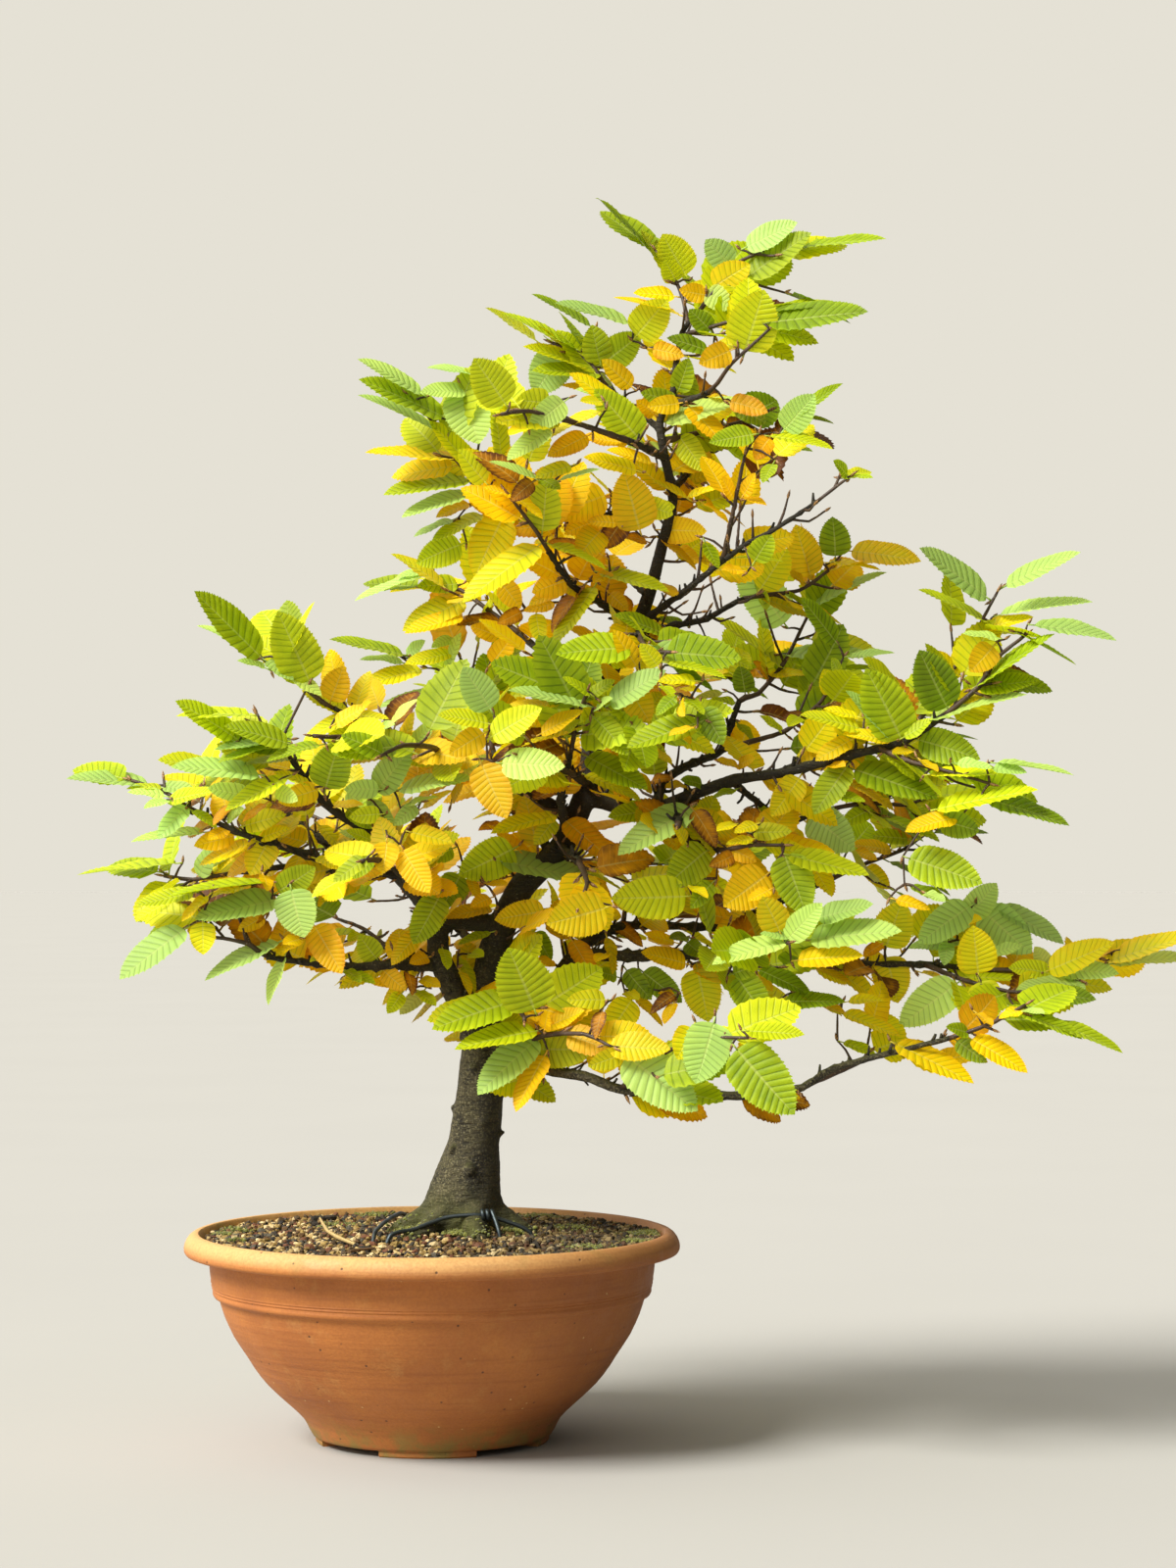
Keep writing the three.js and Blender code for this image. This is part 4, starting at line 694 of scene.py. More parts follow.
def earthenware(s):
    """Terracotta, unglazed earthenware that was turned and fired: matt and porous, with fine turning lines,
    dark pits, a lime bloom and a film of algae near the foot. The clay is drawn darker on the right as
    painted shade, the bloom fades towards the right as painted light, and the lip's top is paler, partly
    lime bloom and partly a painted highlight."""
    material, tree, where = new_material("terracotta_turned")
    height = add(tree, "SeparateXYZ", {0: where}, "Z")
    broad = add(tree, "TexNoise", {"Vector": where, "Scale": 20, "Detail": 3})
    # Turning lines are about 1 mm apart on the pot, and drawn 2.5 mm apart so that they show.
    turned = add(tree, "Mapping", {0: where, 3: (1, 1, 24)})
    lines = add(tree, "TexNoise", {"Vector": turned, "Scale": 16, "Detail": 2})
    colour = coat(tree, s.clay, s.clay_deep, broad, 0.36, 0.7, 0.4)
    colour = coat(tree, colour, s.clay_deep, lines, 0.5, 0.75, 0.35)
    cloud = add(tree, "TexNoise", {"Vector": where, "Scale": 55, "Detail": 5, "Roughness": 0.7})
    share = add(tree, "MapRange", {0: cloud, 1: 0.5, 2: 0.74, 4: 0.12}, **SOFT)
    # The lip's top is paler: partly a lime bloom, partly a painted highlight where the light falls from above.
    lip_top_bloom_and_highlight = add(tree, "MapRange", {0: height, 1: 0.115, 2: 0.124, 4: 0.45}, **SOFT)
    share = add(tree, "Math", {0: share, 1: lip_top_bloom_and_highlight}, operation="ADD")
    # The bloom is drawn fading towards the right as painted light, and the clay is drawn darker on the right
    # as painted shade.
    across = add(tree, "SeparateXYZ", {0: where}, "X")
    moss_and_painted_shade = add(tree, "MapRange", {0: across, 1: 0.01, 2: 0.15, 4: 0.42}, **SOFT)
    painted_light_share = add(tree, "Math", {0: moss_and_painted_shade, 1: -1.4, 2: 1.0}, operation="MULTIPLY_ADD")
    share = add(tree, "Math", {0: share, 1: painted_light_share}, operation="MULTIPLY")
    colour = add(tree, "Mix", {0: share, 6: colour, 7: s.bloom_and_sheen}, **COLOURS)
    fine = add(tree, "TexNoise", {"Vector": where, "Scale": 620, "Detail": 2})
    colour = coat(tree, colour, s.clay_deep, fine, 0.35, 0.7, 0.25)
    pits = add(tree, "TexVoronoi", {"Vector": where, "Scale": 95}, "Distance")
    speck = add(tree, "MapRange", {0: pits, 1: 0.04, 2: 0.1, 3: 0.8, 4: 0}, **SOFT)
    colour = add(tree, "Mix", {0: speck, 6: colour, 7: linear(0x3A2416)}, **COLOURS)
    grits = add(tree, "TexVoronoi", {"Vector": where, "Scale": 60}, "Distance")
    colour = coat(tree, colour, s.bloom_and_sheen, grits, 0.025, 0.05, 0, 0.7)
    foot = both(tree, (height, 0.004, 0.026, 1, 0), (cloud, 0.4, 0.6, 0, 0.7))
    patch = add(tree, "TexNoise", {"Vector": where, "Scale": 33, "Detail": 3})
    lip = both(tree, (height, 0.113, 0.122, 0, 1), (patch, 0.6, 0.74, 0, 0.4))
    film = add(tree, "Math", {0: foot, 1: lip}, operation="MAXIMUM")
    colour = add(tree, "Mix", {0: film, 6: colour, 7: s.algae}, **COLOURS)
    # Painted shade: the clay is darker towards the right.
    colour = add(tree, "Mix", {0: moss_and_painted_shade, 6: colour, 7: linear(0x5A3216)}, **COLOURS)
    relief = add(tree, "Math", {0: fine, 1: 0.5, 2: lines}, operation="MULTIPLY_ADD")
    relief = add(tree, "Math", {0: relief, 1: speck}, operation="SUBTRACT")
    return finished(material, colour, (relief, 0.4, 0.0008), (cloud, 0.6, 0.78), {"IOR": 1.5})


def plastic_mesh():
    """Polyethylene screen, moulded as an open net: dark and a little waxy, with strands 2.5 mm apart."""
    material, tree, where = new_material("polyethylene_net")
    hole = 1.0
    for axis in "XY":
        # 1257 to the metre makes each half wave 2.5 mm long.
        place = add(tree, "SeparateXYZ", {0: where}, axis)
        turn = add(tree, "Math", {0: place, 1: 1257.0}, operation="MULTIPLY")
        wave = add(tree, "Math", {0: add(tree, "Math", {0: turn}, operation="SINE")}, operation="ABSOLUTE")
        wave = add(tree, "MapRange", {0: wave, 1: 0.3, 2: 0.6}, **SOFT)
        hole = add(tree, "Math", {0: wave, 1: hole}, operation="MULTIPLY")
    colour = add(tree, "Mix", {0: hole, 6: linear(0x3B3E40), 7: linear(0x0E0F10)}, **COLOURS)
    relief = add(tree, "Math", {0: 1.0, 1: hole}, operation="SUBTRACT")
    patch = add(tree, "TexNoise", {"Vector": where, "Scale": 100, "Detail": 3})
    return finished(material, colour, (relief, 0.8, 0.0006), (patch, 0.45, 0.65), {"IOR": 1.51})


def humus(s):
    """Humus and dust between the grains: nearly black, damp and matt."""
    material, tree, where = new_material("humus_damp")
    crumbs = add(tree, "TexNoise", {"Vector": where, "Scale": 450, "Detail": 4, "Roughness": 0.65})
    colour = coat(tree, s.humus, linear(0x5A482E), crumbs, 0.4, 0.65)
    return finished(material, colour, (crumbs, 0.9, 0.0012), (crumbs, 0.8, 0.95), {"IOR": 1.45})


def grit():
    """Sieved grit of fired clay, pumice, bark and lava, 2 to 5 mm: each grain has one dusty colour and broken
    faces."""
    material, tree, where = new_material("grit_sieved")
    kind = add(tree, "SeparateXYZ", {0: add(tree, "Attribute", out="Vector", attribute_name="state")}, "X")
    codes = [
        0x86692F, 0x9E8142, 0x4A3618, 0xBFA266, 0x2A2116, 0x604320, 0xD6BC86, 0x4A4434, 0x6C3E20, 0x17130E,
    ]
    stops = [(i / len(codes), linear(code)) for i, code in enumerate(codes)]
    colour = add(tree, "ValToRGB", {0: kind}, stops=stops)
    colour.node.color_ramp.interpolation = "CONSTANT"
    dust = add(tree, "TexNoise", {"Vector": where, "Scale": 1100, "Detail": 3})
    colour = coat(tree, colour, linear(0x4A3A20), dust, 0.35, 0.7, 0.35)
    # Painted shade: the grit is drawn darker towards the right, where the crown's shadow falls.
    across = add(tree, "SeparateXYZ", {0: where}, "X")
    colour = coat(tree, colour, linear(0x2A200A), across, -0.02, 0.09, 0.58)
    return finished(material, colour, (dust, 0.6, 0.0004), (dust, 0.75, 0.92), {"IOR": 1.5})


def cushion_moss(s):
    """Cushion moss: soft tufts, bright at the tips and dark between them, with a faint sheen from the fine
    leaves."""
    material, tree, where = new_material("cushion_moss")
    tip = add(tree, "SeparateXYZ", {0: add(tree, "Attribute", out="Vector", attribute_name="state")}, "X")
    tuft = add(tree, "TexNoise", {"Vector": where, "Scale": 900, "Detail": 3, "Roughness": 0.7})
    tip = add(tree, "Math", {0: tip, 1: 0.45}, operation="MULTIPLY")
    share = add(tree, "Math", {0: tuft, 1: 0.8, 2: tip}, operation="MULTIPLY_ADD")
    stops = [(0.2, linear(0x1E240A)), (0.5, s.moss), (0.8, linear(0x84842C)), (1, linear(0x9C8E3C))]
    colour = add(tree, "ValToRGB", {0: share}, stops=stops)
    constants = {"IOR": 1.4, "Sheen Weight": 0.3}
    return finished(material, colour, (tuft, 1.0, 0.0008), (tuft, 0.75, 0.95), constants)


def wire_finish(s):
    """Anodised aluminium wire, drawn and then annealed: dark, dull, with rubbed bright scratches along it."""
    material, tree, where = new_material("aluminium_anodised")
    wear = add(tree, "TexNoise", {"Vector": where, "Scale": 250, "Detail": 4, "Roughness": 0.7})
    colour = coat(tree, s.anodised, linear(0x6E7178), wear, 0.6, 0.72, 0.5)
    scratch = add(tree, "TexNoise", {"Vector": where, "Scale": 1250, "Detail": 2})
    return finished(material, colour, (scratch, 0.25, 0.0002), (scratch, 0.38, 0.55), {"Metallic": 0.85})


def smooth_bark(s):
    """Hornbeam bark, grown: smooth and grey with level wrinkles, pale pores, dark hollows, and moss on its low
    and upper sides. Its side away from the key light is drawn darker, as painted shade."""
    material, tree, where = new_material("hornbeam_bark")
    height = add(tree, "SeparateXYZ", {0: where}, "Z")
    facing = add(tree, "NewGeometry", out="Normal")
    aside = add(tree, "SeparateXYZ", {0: facing}, "X")
    upward = add(tree, "SeparateXYZ", {0: facing}, "Z")
    low = add(tree, "Mapping", {0: where, 3: (1, 1, 0.55)})
    broad = add(tree, "TexNoise", {"Vector": low, "Scale": 71, "Detail": 4, "Roughness": 0.6})
    # Level wrinkles are under 1 mm apart on such bark, and drawn about 2 mm apart.
    flat = add(tree, "Mapping", {0: where, 3: (1, 1, 4.5)})
    wrinkle = add(tree, "TexNoise", {"Vector": flat, "Scale": 110, "Detail": 4, "Roughness": 0.65})
    fine = add(tree, "TexNoise", {"Vector": where, "Scale": 770, "Detail": 3, "Roughness": 0.6})
    colour = coat(tree, s.bark, s.bark_dark, broad, 0.42, 0.68)
    colour = coat(tree, colour, s.bark_dark, wrinkle, 0.48, 0.62, 0.8)
    colour = coat(tree, colour, linear(0x988E68), fine, 0.5, 0.64, 0.62)
    colour = coat(tree, colour, linear(0x231C14), height, 0.2, 0.36, 0.85)
    flat = add(tree, "Mapping", {0: where, 3: (1, 1, 2.4)})
    pore = add(tree, "TexVoronoi", {"Vector": flat, "Scale": 167}, "Distance")
    pore = add(tree, "MapRange", {0: pore, 1: 0.07, 2: 0.14, 3: 0.5, 4: 0}, **SOFT)
    colour = add(tree, "Mix", {0: pore, 6: colour, 7: linear(0xB2A88C)}, **COLOURS)
    foot = add(tree, "MapRange", {0: height, 1: 0.128, 2: 0.166, 3: 0.92, 4: 0}, **SOFT)
    moss_and_painted_shade = both(tree, (upward, 0.25, 0.7, 0, 1), (height, 0.2, 0.5, 0.6, 0.12))
    green = add(tree, "Math", {0: foot, 1: moss_and_painted_shade}, operation="MAXIMUM")
    share = add(tree, "MapRange", {0: broad, 1: 0.28, 2: 0.5}, **SOFT)
    green = add(tree, "Math", {0: green, 1: share}, operation="MULTIPLY")
    colour = add(tree, "Mix", {0: green, 6: colour, 7: linear(0x48480F)}, **COLOURS)
    # Painted shade: the trunk's side away from the key light is drawn darker, less so up in the crown.
    shady = both(tree, (aside, -0.8, 0.8, 0, 0.66), (height, 0.27, 0.4, 1, 0.3))
    colour = add(tree, "Mix", {0: shady, 6: colour, 7: s.bark_dark}, **COLOURS)
    relief = add(tree, "Math", {0: wrinkle, 1: -1.0, 2: pore}, operation="MULTIPLY_ADD")
    relief = add(tree, "Math", {0: fine, 1: 0.35, 2: relief}, operation="MULTIPLY_ADD")
    return finished(material, colour, (relief, 1.0, 0.003), (fine, 0.68, 0.88), {"IOR": 1.45})


def twig_bark(s):
    """Young hornbeam bark: thin, brown and slightly waxy, with small pale pores."""
    material, tree, where = new_material("hornbeam_twig")
    broad = add(tree, "TexNoise", {"Vector": where, "Scale": 125, "Detail": 4})
    colour = coat(tree, s.twig, linear(0x4C3826), broad, 0.35, 0.65)
    pore = add(tree, "TexVoronoi", {"Vector": where, "Scale": 417}, "Distance")
    pore = add(tree, "MapRange", {0: pore, 1: 0.1, 2: 0.22, 3: 0.5, 4: 0}, **SOFT)
    colour = add(tree, "Mix", {0: pore, 6: colour, 7: linear(0x9C8970)}, **COLOURS)
    relief = add(tree, "Math", {0: broad, 1: pore}, operation="ADD")
    return finished(material, colour, (relief, 0.5, 0.0004), (broad, 0.5, 0.7), {"IOR": 1.45})


def leaf_blade(s):
    """Hornbeam leaf, grown: thin, pleated along its side veins, satin above, and lit through. It turns from
    green through yellow to brown, first between the veins and at the margin. Some leaves are drawn paler as a
    painted sheen, the sky's reflection on their upper side, and the grooves by the side veins are drawn darker
    as painted shade."""
    material, tree, where = new_material("hornbeam_leaf")
    lay = add(tree, "UVMap", uv_map="Lay")
    # The map counts the side veins along the leaf, and goes from 0 to 1 across it.
    count = add(tree, "Math", {0: add(tree, "SeparateXYZ", {0: lay}, "X"), 1: 0.5}, operation="ADD")
    count = add(tree, "Math", {0: count}, operation="FRACT")
    off_vein = add(tree, "Math", {0: count, 1: 0.5}, operation="SUBTRACT")
    off_vein = add(tree, "Math", {0: off_vein}, operation="ABSOLUTE")
    out = add(tree, "SeparateXYZ", {0: lay}, "Y")
    out = add(tree, "Math", {0: out, 1: 2.0, 2: -1.0}, operation="MULTIPLY_ADD")
    out = add(tree, "Math", {0: out}, operation="ABSOLUTE")
    vein = both(tree, (off_vein, 0.03, 0.16, 1, 0), (out, 0.8, 1, 1, 0.3))
    rib = add(tree, "MapRange", {0: out, 1: 0.02, 2: 0.08, 3: 1, 4: 0}, **SOFT)
    cloud = add(tree, "TexNoise", {"Vector": where, "Scale": 90, "Detail": 3, "Roughness": 0.6})
    # What the leaf's own values say: how far it has turned, its shade and its painted sheen.
    state = add(tree, "Attribute", out="Vector", attribute_name="state")
    turned, shade, pale = (add(tree, "SeparateXYZ", {0: state}, axis) for axis in "XYZ")
    turned = add(tree, "Math", {0: cloud, 1: 0.17, 2: turned}, operation="MULTIPLY_ADD")
    edge = add(tree, "MapRange", {0: out, 1: 0.5, 2: 1, 3: -0.09, 4: -0.045}, **SOFT)
    turned = add(tree, "Math", {0: turned, 1: edge}, operation="ADD")
    turned = add(tree, "Math", {0: vein, 1: -0.04, 2: turned}, operation="MULTIPLY_ADD")
    stops = [
        (0.12, linear(0x5C6E0C)), (0.26, s.fresh), (0.38, s.green), (0.5, s.lime), (0.6, linear(0xEEDE0A)),
        (0.68, s.yellow), (0.78, s.amber), (0.87, linear(0xE29C0A)), (0.96, s.dead),
    ]
    colour = add(tree, "ValToRGB", {0: turned}, stops=stops)
    # Painted sheen: some leaves are mixed towards a pale colour where their upper side reflects the sky.
    pale = add(tree, "Math", {0: pale, 1: 0.7}, operation="MULTIPLY")
    colour = add(tree, "Mix", {0: pale, 6: colour, 7: s.bloom_and_sheen}, **COLOURS)
    # Painted shade: the grooves along the side veins are drawn darker.
    painted_groove_shade = add(tree, "Math", {0: vein, 1: 0.42}, operation="MULTIPLY")
    dark = add(tree, "HueSaturation", {"Value": 0.42, "Color": colour})
    colour = add(tree, "Mix", {0: painted_groove_shade, 6: colour, 7: dark}, **COLOURS)
    share = add(tree, "Math", {0: rib, 1: 0.25}, operation="MULTIPLY")
    colour = add(tree, "Mix", {0: share, 6: colour, 7: linear(0xDDE08A)}, **COLOURS)
    spots = add(tree, "TexNoise", {"Vector": where, "Scale": 360, "Detail": 3, "Roughness": 0.7})
    scorch = both(tree, (spots, 0.68, 0.75, 0, 1), (out, 0.1, 0.95, 0.1, 0.7))
    colour = add(tree, "Mix", {0: scorch, 6: colour, 7: linear(0x7A4A1C)}, **COLOURS)
    shade = add(tree, "Math", {0: shade, 1: 0.4, 2: 0.88}, operation="MULTIPLY_ADD")
    tinted = add(tree, "HueSaturation", {"Value": shade, "Color": colour})
    net = add(tree, "TexVoronoi", {"Vector": where, "Scale": 700}, "Distance", feature="DISTANCE_TO_EDGE")
    net = add(tree, "MapRange", {0: net, 1: 0, 2: 0.12, 4: 0.25}, **SOFT)
    relief = add(tree, "Math", {0: vein, 1: rib}, operation="MAXIMUM")
    relief = add(tree, "Math", {0: relief, 1: -1.0, 2: net}, operation="MULTIPLY_ADD")
    bump = add(tree, "Bump", {"Height": relief, "Strength": 0.5, "Distance": 0.0004})
    rough = add(tree, "MapRange", {0: cloud, 1: 0.3, 2: 0.7, 3: 0.42, 4: 0.56}, **SOFT)
    links = {
        "Base Color": tinted, "Roughness": rough, "Normal": bump, "IOR": 1.45, "Specular IOR Level": 0.38,
    }
    above = add(tree, "BsdfPrincipled", links)
    through = add(tree, "BsdfTranslucent", {"Color": tinted, "Normal": bump})
    add(tree, "OutputMaterial", {0: add(tree, "MixShader", {0: 0.4, 1: above, 2: through})})
    return material


def bud_scales():
    """Winter buds of overlapping scales: chestnut brown with paler tips, dry and satin."""
    material, tree, where = new_material("hornbeam_bud")
    scales = add(tree, "TexVoronoi", {"Vector": where, "Scale": 833}, "Distance")
    colour = coat(tree, linear(0x5E3A20), linear(0xA07848), scales, 0.2, 0.7)
    return finished(material, colour, (scales, 0.6, 0.0003), (scales, 0.4, 0.6), {"IOR": 1.45}, (0, 1))


def plaster(s):
    """Painted plaster floor: even, pale and matt, with faint broad shading."""
    material, tree, where = new_material("plaster_painted")
    patch = add(tree, "TexNoise", {"Vector": where, "Scale": 3, "Detail": 3})
    darker = [c * 0.96 for c in s.floor]
    colour = add(tree, "Mix", {0: patch, 6: s.floor, 7: darker}, **COLOURS)
    rough = add(tree, "MapRange", {0: patch, 3: 0.8, 4: 0.9}, **SOFT)
    links = {"Base Color": colour, "Roughness": rough, "Specular IOR Level": 0.0}
    add(tree, "OutputMaterial", {0: add(tree, "BsdfPrincipled", links)})
    return material


# Leaves


def leaf_form(veins, teeth, pleats):
    """The flat leaf that every leaf bends from: rows of points that follow the side veins. teeth and pleats
    give how far each row between two veins stands out at the margin and up from the blade."""
    per = len(teeth)
    rows = per * veins + 1
    row = np.arange(rows)
    u = row / (rows - 1)
    meets = u + 0.15 * np.sin(np.pi * u)
    outline = np.array(OUTLINE)
    tooth = np.array(teeth)[row % per] * np.clip(u * 8, 0.3, 1) * np.clip((1 - u) * 6, 0.1, 1)
    half = np.interp(meets, outline[:, 0], outline[:, 1]) + 0.05 * tooth
    meets = meets + 0.012 * tooth * (u < 0.99)
    share = np.array([-1, -0.5, 0, 0.5, 1])
    x = u[:, None] + (meets - u)[:, None] * np.abs(share)
    y = half[:, None] * share
    pleat = np.array(pleats)[row % per][:, None] * np.array([0.75, 1, 0, 1, 0.75])
    pleat = pleat * np.clip((1 - u) * 5, 0, 1)[:, None]
    index = row[:-1, None] * 5 + np.arange(4)
    faces = np.stack([index, index + 5, index + 6, index + 1], -1).reshape(-1, 4)
    uv = np.stack(np.broadcast_arrays(u[:, None] * veins, (share + 1) / 2), -1).reshape(-1, 2)
    return x, y, pleat, faces, uv


def as_seen(points):
    """Where points appear from the front, as x and z on the plane through the tree's middle."""
    scale = EYE[1] / (EYE[1] + points[:, 1])
    return EYE[::2] + (points[:, ::2] - EYE[::2]) * scale[:, None]


def at_depth(spot, y):
    """The point at a depth that appears from the front at a spot on the middle plane."""
    x, z = EYE[::2] + (spot - EYE[::2]) * (EYE[1] + y) / EYE[1]
    return np.array([x, y, z])


class Foliage:
    """Collects leaves, shoots and buds, and keeps new leaves clear of those that it has."""

    def __init__(self, settings):
        fine = ([1.0, -0.55, 0.4, -0.45], [-1.0, 0.15, 1.0, 0.15])
        plain = ([1.0, -0.6], [-1.0, 1.0])
        few = max(4, settings.veins * 2 // 3)
        # A small leaf, a large one, and a plainer one for the leaves behind.
        self.forms = [leaf_form(few, *fine), leaf_form(settings.veins, *fine), leaf_form(few + 2, *plain)]
        self.pleat = settings.pleat / MM
        self.random = np.random.default_rng(41)
        self.spots = np.zeros((0, 3))
        self.front = np.zeros((0, 3))
        self.limbs = np.zeros((0, 4))
        # Where on their twigs the leaves and side shoots start.
        self.starts = []
        self.low, self.high = (np.array(corner) / MM for corner in CAD_BOX)

    def points_of(self, base, axis, length):
        return base + axis * (LEAF["petiole"] + length * np.array([0.3, 0.55, 0.8])[:, None])

    def gap_to(self, base, axis, length):
        """How far a leaf would be from the leaves that are there. A limb may be a third as far as a leaf."""
        points = self.points_of(base, axis, length)[:, None]
        skin = np.linalg.norm(points - self.limbs[None, :, :3], axis=2) - self.limbs[None, :, 3]
        near = min(99.0, 3 * skin.min())
        return min(near, np.linalg.norm(points - self.spots[None], axis=2).min()) if len(self.spots) else near

    def is_hidden(self, base, axis, length):
        """True if a limb stands before a leaf."""
        points = self.points_of(base, axis, length)
        limbs = self.limbs[self.limbs[:, 3] > 1.5]
        gaps = np.linalg.norm(as_seen(points)[:, None] - as_seen(limbs[:, :3])[None], axis=2)
        return bool(((gaps < limbs[None, :, 3] + 4) & (limbs[None, :, 1] < points[:, None, 1])).any())

    def is_inside(self, base, axis, face, length):
        """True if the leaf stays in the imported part's box."""
        across = np.cross(face, axis) * length * 0.33
        middle = base + axis * (LEAF["petiole"] + length * 0.4)
        points = np.array([base + axis * (LEAF["petiole"] + length + 2), middle + across, middle - across])
        return (points > self.low + 4).all() and (points < self.high - 4).all()

    def is_behind(self, base, axis, face, length, least=6):
        """True if the front leaves hide a leaf, so that it fills the crown and no gap in it."""
        points = self.points_of(base, axis, length)
        gaps = np.linalg.norm(as_seen(points)[:, None] - as_seen(self.front)[None], axis=2)
        covers = (gaps < 12) & (self.front[None, :, 1] < points[:, None, 1] - 3)
        if covers.any(axis=1).sum() < 2:
            return False
        across = np.cross(face, axis) * length * 0.2
        spread = [base + axis * (LEAF["petiole"] + length * s) + across * k
                  for s, k in ((0.12, 0), (0.3, -1), (0.3, 1), (0.5, 0), (0.62, -1), (0.62, 1), (0.92, 0))]
        return self.is_covered(as_seen(np.array(spread))).sum() >= least

    def is_covered(self, spots):
        """Whether each spot of the front view lies on a leaf that shows there."""
        cells = np.round((spots - self.corner) / COVER_STEP).astype(int)
        cells = np.clip(cells, 0, np.array(self.cover.shape) - 1)
        return self.cover[cells[:, 0], cells[:, 1]]

    def lay_cover(self, spots, reaches, widths):
        """Marks where the leaves of the front view are, on a map of it."""
        self.corner = np.array([self.low[0], self.low[2]])
        size = np.ceil((self.high[[0, 2]] - self.corner) / COVER_STEP).astype(int) + 1
        cells = np.stack(np.meshgrid(np.arange(size[0]), np.arange(size[1]), indexing="ij"), -1)
        grid = cells * COVER_STEP + self.corner
        self.cover = np.zeros(size, bool)
        for spot, reach, width in zip(spots, reaches, widths):
            long = np.linalg.norm(reach)
            off = grid - (spot + reach * 0.5)
            ahead, aside = off @ reach / long, off @ np.array([-reach[1], reach[0]]) / long
            self.cover |= (ahead / (long / 2 + 3)) ** 2 + (aside / (width / 2 + 3)) ** 2 < 1

    def leaf(self, base, axis, face, length, turned, droop=2.0, width=None, stalk=None, pale=0.0):
        """The parts of one leaf: its blade and its stalk. turned is from 0, green, to 1, dead."""
        random = self.random
        x, y, pleat, faces, uv = self.forms[2 if width is None else int(length > 27)]
        half = (width or length * LEAF["width"] * random.uniform(0.96, 1.12)) / 2
        stalk = LEAF["petiole"] if stalk is None else stalk
        across = np.cross(face, axis)
        dead = max(0.0, (turned - 0.86) / 0.14)
        px, py = x * length, y * half
        # A fold along the midrib, a droop towards the tip, a sideways bend, a twist and a wavy margin.
        lift = 0.2 * np.abs(py)
        lift = lift - 0.012 * py**2 * random.uniform(0.2, 1.3) * 25 / length
        lift = lift + dead * 0.05 * py**2 * random.uniform(0.4, 1.2)
        lift = lift + pleat * self.pleat * length / 42
        lift = lift - (droop + dead * 9) * (px / length) ** 2
        lift = lift + random.uniform(-0.05, 0.05) * py * (px / length)
        wave = random.uniform(0.2, 0.9) * np.sin(2 * np.pi * (1.4 * x + random.random()))
        lift = lift + wave * (np.abs(py) / half) ** 2 * np.where(py > 0, 1, -0.8)
        slide = random.uniform(-1.6, 1.6) * (px / length) ** 2
        vertices = (
            base
            + axis * (stalk + px[..., None])
            + across * (py + slide)[..., None]
            + face * lift[..., None]
        ).reshape(-1, 3)
        vertices = np.clip(vertices, self.low + 0.3, self.high - 0.3)
        state = (np.clip(turned, 0.02, 0.99), random.random(), pale)
        line = np.array([base, base + axis * stalk * 0.5, base + axis * (stalk + 0.6)])
        radius = 0.42 + 0.004 * length
        stem = tube(line, [radius * 1.25, radius, radius * 0.9], 4, 0, state)
        stem["uv"] = np.tile([0.5, 0.5], (len(stem["v"]), 1))
        self.spots = np.concatenate([self.spots, self.points_of(base, axis, length)])
        return [part(vertices, faces, 0, uv, state), stem]

    def bud(self, base, axis, length=5.5, radius=0.95):
        """A slender pointed bud."""
        line = [base + axis * length * share for share in (0, 0.3, 0.65, 1)]
        return tube(line, [radius * 0.6, radius, radius * 0.8, 0.12], 5, 2)

    def twig(self, line, radii, seed):
        return tube(line, radii, 6, 1, rough=0.3, seed=seed)

    def budded_twig(self, line, radii, seed, length):
        """A twig with a bud of that length at its end."""
        return [self.twig(line, radii, seed), self.bud(line[-1], unit(line[-1] - line[-2]), length)]

    def bare_twig(self, start, tangent, random, seed):
        """A short leafless twig with a bud, if no leaf is in its way."""
        way = offshoot(tangent, random, 0.5)
        length = random.uniform(9, 27)
        middle = start + way * length * 0.5
        line = np.array([start, middle, middle + unit(way + [0, 0, 0.6]) * length * 0.5])
        gap = np.linalg.norm(line[1:, None] - self.spots[None], axis=2).min()
        if gap < ROOM["twig"] or (line < self.low + 5).any() or (line > self.high - 5).any():
            return []
        fine, radii = fine_line(line, [1.0, 0.8, 0.6], step=5)
        return [self.twig(fine, radii, seed), self.bud(line[-1], unit(line[-1] - line[-2]), 5.5)]

    def leafy_part(self, line, radii):
        """A twig's line and radii up to its last leaf or side shoot."""
        gaps = np.linalg.norm(line[:, None] - np.array(self.starts)[None], axis=2).min(axis=1)
        kept = np.nonzero(gaps < 4.5)[0]
        count = max(3, kept.max() + 1) if len(kept) else 3
        return line[:count], radii[:count]


